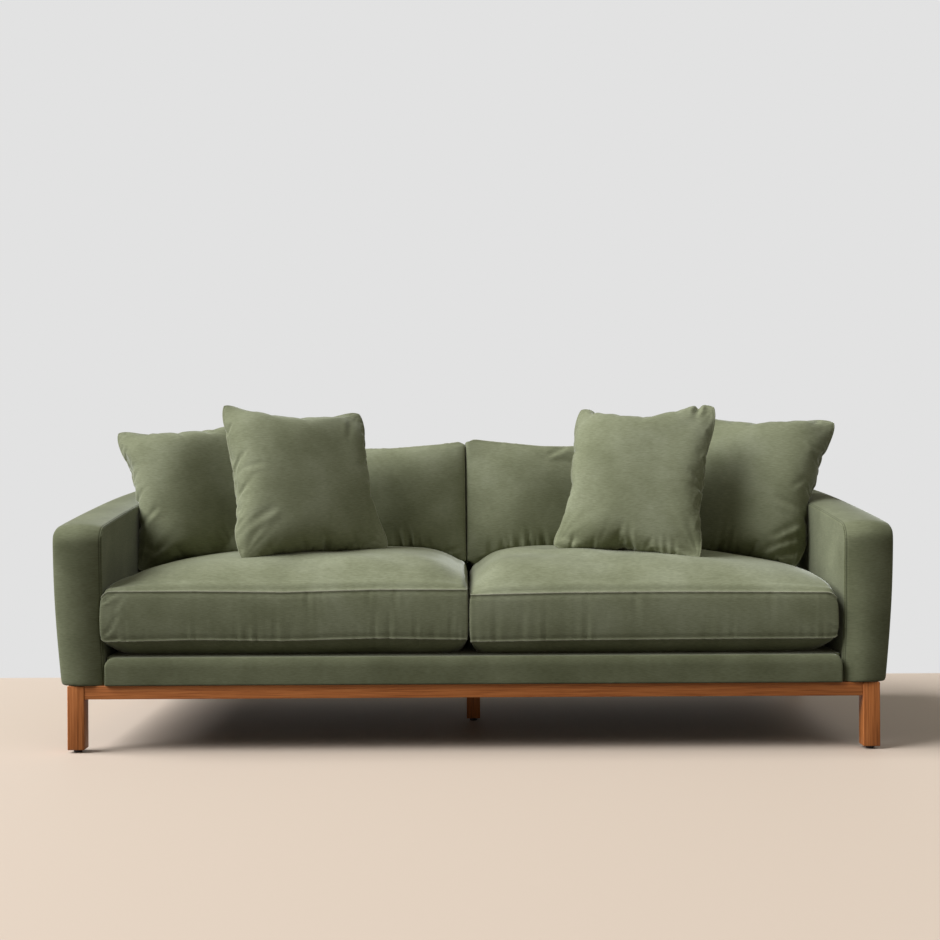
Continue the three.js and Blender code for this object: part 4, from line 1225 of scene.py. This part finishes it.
def inflate(points, faces):
    """Fills the sewn panels with air as cloth, with no gravity, and reads what comes out."""
    piece = from_arrays("pillow_panels", points, faces)
    cloth = piece.modifiers.new("cloth", "CLOTH")
    settings = cloth.settings
    settings.quality = 6
    settings.mass = 0.25
    settings.use_pressure = True
    settings.uniform_pressure_force = 4
    settings.effector_weights.gravity = 0
    settings.tension_stiffness = 40
    settings.compression_stiffness = 5
    settings.shear_stiffness = 8
    settings.bending_stiffness = 0.4
    settings.air_damping = 4
    cloth.collision_settings.use_collision = False
    cloth.point_cache.frame_start = 1
    cloth.point_cache.frame_end = pillow_frames
    for number in range(1, pillow_frames + 1):
        bpy.context.scene.frame_set(number)
    filled = piece.evaluated_get(bpy.context.evaluated_depsgraph_get())
    flat = np.zeros(len(points) * 3)
    filled.data.vertices.foreach_get("co", flat)
    bpy.context.scene.frame_set(1)
    bpy.data.objects.remove(piece)
    return flat.reshape(-1, 3)


def calm(height, inset):
    """Evens out a filled panel away from its seam, where the down inside pushes it smooth."""
    share = np.clip((inset - 0.030) / 0.060, 0, 1) * 0.8
    for turn in range(60):
        near = np.roll(height, 1, 0) + np.roll(height, -1, 0)
        near = near + np.roll(height, 1, 1) + np.roll(height, -1, 1)
        height = height + share * (near / 4 - height)
    return height


points, pillow_faces, pillow_inset, pillow_full, pillow_grids = flat_pillow()
pillow_grid = pillow_grids[0]
filled = inflate(points, pillow_faces)
corners = filled[pillow_grid[[0, 0, -1, -1], [0, -1, 0, -1]]]
middles = filled[pillow_grid[[0, -1], pillow_cells // 2]]
half = np.abs(corners[:, :2]).mean()
drawn = 1 - np.abs(middles[:, 0]).mean() / half
unit = filled / half
flat_x = unit[:, 0] / (1 - drawn * (1 - np.clip(unit[:, 1], -1, 1) ** 2))
flat_y = unit[:, 1] / (1 - drawn * (1 - np.clip(unit[:, 0], -1, 1) ** 2))
unit = np.stack([flat_x, flat_y, filled[:, 2] / filled[:, 2].max()], 1)
for panel in pillow_grids:
    unit[panel, 2] = calm(unit[panel, 2], pillow_inset[panel])

# Each pillow's side lengths as shares of its size, its turns, and how far it is from the arm, the
# back and the seat. "quarter" and "flip" turn the filled form. "sides" says how many millimetres
# each side stands out or in at seven stations, from left to right or from the foot up. "pinches",
# "creases" and "fans" are folds: in from a side, between two places on the front panel, and out
# from each corner. "skew" fills one side more, and "press" is where a neighbour sinks the front.
pillow_facts = {
    "outer_left": {
        "shares": (0.871, 1.004, 1.004, 0.964), "turns": (5, 21, -6.4), "away": (0.342, 0.673, 0.374),
        "quarter": 0, "flip": False, "skew": 0.40, "fans": (5, 5, 1, 2), "press": (-0.45, 1.15, 0.040),
        "sides": {
            "top": (-7, -32, -36, -31, -27, -12, 0), "bottom": (0, -8, -12, -14, -12, -8, 0),
            "left": (-4, -19, -33, -30, -30, -13, 0), "right": (0, -15, -22, -25, -22, -15, 0),
        },
        "pinches": (("left", 0.38, 4, 7, 30), ("left", 0.10, 4, 6, 25), ("left", -0.44, 5, 8, 40)),
        "creases": (
            ((-0.86, -0.42), (-0.66, -0.33), 6, 8), ((-0.96, -0.72), (-0.66, -0.90), 5, 7),
            ((-0.92, -0.88), (-0.52, -0.86), 4, 7), ((0.26, -0.66), (0.40, -0.98), 5, 8),
            ((0.36, -0.62), (0.52, -0.98), 5, 8), ((0.12, -0.82), (0.24, -1.0), 4, 8),
        ),
    },
    "inner_left": {
        "shares": (0.956, 0.889, 1.111, 0.996), "turns": (22, 29, -1.8), "away": (1.104, 0.971, 0.458),
        "quarter": 1, "flip": False, "skew": 0.32, "fans": (3, 4, 1.5, 1), "press": (0.2, 0.8, 0.004),
        "sides": {
            "top": (6, -26, -48, -48, -41, -28, -5), "bottom": (0, -6, -3, -1, 3, 8, 10),
            "left": (10, 13, 1, 0, 4, 8, 9), "right": (-9, -25, -26, -25, -16, -4, 4),
        },
        "pinches": (
            ("left", -0.20, 4, 6, 25), ("left", 0.04, 3, 6, 60), ("bottom", -0.21, 5, 6, 25),
            ("bottom", 0.08, 5, 6, 28), ("top", -0.41, 3, 6, 20), ("right", -0.12, 3, 6, 20),
        ),
        "creases": (
            ((-0.99, 0.03), (-0.72, 0.02), 3, 6), ((-0.98, -0.68), (-0.58, -0.55), 5, 9),
            ((0.55, -1.0), (0.88, -0.93), 4, 6), ((0.72, -0.96), (0.92, -0.84), 3, 6),
            ((0.80, 0.90), (0.70, 0.52), 3, 9), ((-0.90, -0.80), (-0.70, -0.72), 3, 8),
        ),
    },
    "outer_right": {
        "shares": (0.862, 1.004, 1.018, 1.058), "turns": (-12, 24, 6.7), "away": (0.329, 0.669, 0.385),
        "quarter": 2, "flip": True, "skew": -0.20, "fans": (4, 7, 1, 1), "press": (0.2, 0.8, 0),
        "sides": {
            "top": (-8, -20, -35, -29, -23, -8, 3), "bottom": (0, -8, -16, -17, -13, -8, -4),
            "left": (0, -15, -22, -25, -22, -15, 0), "right": (-27, -17, -25, -22, -20, -10, 6),
        },
        "pinches": (
            ("right", 0.53, 3, 6, 35), ("right", 0.06, 3, 6, 40), ("right", -0.42, 5, 6, 30),
            ("bottom", -0.28, 5, 7, 60), ("bottom", -0.15, 5, 7, 60), ("bottom", -0.01, 4, 7, 45),
        ),
        "creases": (
            ((0.80, 0.62), (0.95, 0.50), 3, 6), ((0.72, -0.10), (0.90, 0.08), 4, 7),
            ((0.50, -0.28), (0.92, -0.37), 7, 8), ((0.40, -0.98), (0.95, -0.66), 10, 9),
            ((0.50, -0.80), (0.94, -0.50), 8, 9), ((0.58, -1.0), (0.96, -0.84), 9, 8),
        ),
    },
    "inner_right": {
        "shares": (0.951, 0.893, 1.022, 1.071), "turns": (-19, 28, 3.4), "away": (1.133, 0.984, 0.454),
        "quarter": 3, "flip": True, "skew": 0.32, "fans": (3, 4, 1.5, 1), "press": (-0.3, 1.2, 0.010),
        "sides": {
            "top": (-7, -34, -47, -50, -30, -3, 5), "bottom": (4, 4, 3, -14, -4, 0, 5),
            "left": (-11, -31, -38, -26, -18, -6, -1), "right": (10, -2, -13, -8, -6, -2, 2),
        },
        "pinches": (
            ("top", 0.03, 7, 5, 25), ("top", 0.78, 15, 7, 30), ("left", -0.38, 5, 6, 30),
            ("right", -0.13, 5, 6, 30), ("bottom", 0.12, 8, 6, 30), ("bottom", 0.50, 4, 5, 28),
            ("bottom", 0.60, 4, 5, 30), ("bottom", 0.70, 4, 5, 28), ("top", -0.77, 6, 8, 25),
        ),
        "creases": (
            ((-0.98, -0.90), (-0.56, -0.97), 5, 6), ((0.84, -0.80), (1.02, -0.88), 4, 6),
            ((0.80, -0.90), (1.0, -0.97), 4, 6),
        ),
    },
}
side_stations = np.linspace(-1, 1, 7)


def side_at(values, place):
    """A side's distance in metres at a place along it, smoothed between its stations."""
    fine = np.linspace(-1, 1, 241)
    shape = np.interp(fine, side_stations, values)
    kernel = np.hanning(43) / np.hanning(43).sum()
    shape = np.convolve(np.pad(shape, 21, mode="edge"), kernel, mode="valid")
    return np.interp(place, fine, shape) / 1000


def fan(across, up, seed):
    """Folds that spread from a corner, as a height over distances from its two sides."""
    reach = np.hypot(across, up) / 0.045
    angle = np.arctan2(up, across)
    return np.sin(angle * 13 + seed + 0.8 * np.sin(angle * 5 + seed)) * reach * np.exp(1 - reach)


def formed_pillow(fact):
    """The filled form, turned and drawn to one pillow's own sides and folds, in metres."""
    form = unit.copy()
    for turn in range(fact["quarter"]):
        form = np.stack([-form[:, 1], form[:, 0], form[:, 2]], 1)
    if fact["flip"]:
        form = form * (-1, 1, -1)
    p, q, h = form.T
    low_width, high_width, left_height, right_height = [s * pillow_size for s in fact["shares"]]
    width = low_width + (high_width - low_width) * (q + 1) / 2
    height = left_height + (right_height - left_height) * (p + 1) / 2
    sides = fact["sides"]
    rightward, upward = np.clip((1 + p) / 2, 0, 1), np.clip((1 + q) / 2, 0, 1)
    x = p * width / 2
    x = x + side_at(sides["right"], q) * rightward ** 2 - side_at(sides["left"], q) * (1 - rightward) ** 2
    y = q * height / 2
    y = y + side_at(sides["top"], p) * upward ** 2 - side_at(sides["bottom"], p) * (1 - upward) ** 2
    dent = np.zeros_like(x)
    away = {
        "left": (p + 1) * width / 2, "right": (1 - p) * width / 2,
        "bottom": (q + 1) * height / 2, "top": (1 - q) * height / 2,
    }
    for side, place, depth, breadth, length in fact["pinches"]:
        upright = side in ("left", "right")
        distance = (q - place) * height / 2 if upright else (p - place) * width / 2
        notch = bell(distance * 1000 / breadth) * np.exp(-np.clip(away[side], 0, 1) / 0.006)
        inward = depth / 1000 * notch * (1 if side in ("left", "bottom") else -1)
        if upright:
            x = x + inward
        else:
            y = y + inward
        fold = (0, crease_share * depth / 1000, breadth / 900, length / 1000)
        dent += furrows(distance, away[side], [fold])
    for start, end, depth, breadth in fact["creases"]:
        start = (start[0] * pillow_size / 2, start[1] * pillow_size / 2)
        end = (end[0] * pillow_size / 2, end[1] * pillow_size / 2)
        depth, breadth = crease_share * depth / 1000, breadth / 800
        dent += crease(p * pillow_size / 2, q * pillow_size / 2, start, end, depth, breadth)
    corners = (("left", "bottom"), ("right", "bottom"), ("right", "top"), ("left", "top"))
    for seed, ((a, b), depth) in enumerate(zip(corners, fact["fans"])):
        spread_out = fan(np.clip(away[a], 0, 1), np.clip(away[b], 0, 1), seed * 1.9 + depth)
        dent += crease_share * depth / 2500 * spread_out
    thin = 1 - ear_thinness * bell((2 - np.abs(p) - np.abs(q)) / ear_reach)
    tilted = np.where(h > 0, 1 - fact["skew"] * p * (1 - 0.5 * p * p), 0.85)
    z = h * thin * pillow_thickness / 2 * tilted
    ahead = np.clip(h / 0.12, 0, 1)
    dent = dent - pressed_in(p, *fact["press"]) * np.clip(h / 0.5, 0, 1)
    z = np.where(h > 0, np.maximum(z + dent * ahead, 0.35 * z), z)
    return np.stack([x, y, z], 1)


outer_trees = {}
for name, fact in pillow_facts.items():
    side = name.split("_")[1]
    sign = -1 if side == "left" else 1
    points = formed_pillow(fact)
    turn, lean, roll = [math.radians(t) for t in fact["turns"]]
    from_arm, from_back, above = [a * pillow_size for a in fact["away"]]
    seat_top = seat_middle + seat_border / 2 + seat_crown
    stand = (
        Matrix.Translation((sign * (arm_inner - from_arm), back_deck_y - from_back, seat_top + above))
        @ Matrix.Rotation(turn, 4, "Z") @ Matrix.Rotation(-lean, 4, "X")
        @ Matrix.Rotation(roll, 4, "Y") @ Matrix.Rotation(math.pi / 2, 4, "X")
    )
    points = points @ np.array(stand.to_3x3()).T + np.array(stand.translation)
    pillow = from_arrays(f"throw_pillow_{name}", points, pillow_faces)
    mark(pillow, "inset", pillow_inset)
    round_off(pillow, 1)
    inset = read_layer(pillow, "inset")
    welt = pillow_welt * bell(inset / pillow_welt_width)
    push_out(pillow, welt - pillow_welt / 2 * bell((inset - 0.006) / 0.004))
    neighbours = [seat_trees[side], back_trees[side]]
    if name.startswith("inner"):
        neighbours.append(outer_trees[side])
    settle(pillow, neighbours, rounds=3, limit=between_arms)
    if name.startswith("outer"):
        outer_trees[side] = tree_of(pillow)
    # A pale painted highlight along the welt, where the pile is also rubbed.
    seam_wear_and_highlight = 0.2 * bell(inset / pillow_welt_width)
    node = f"pillow_{name}"
    fit_pad(pillow, cushion_velvet, f"throw_{name}", node, seam_wear_and_highlight)
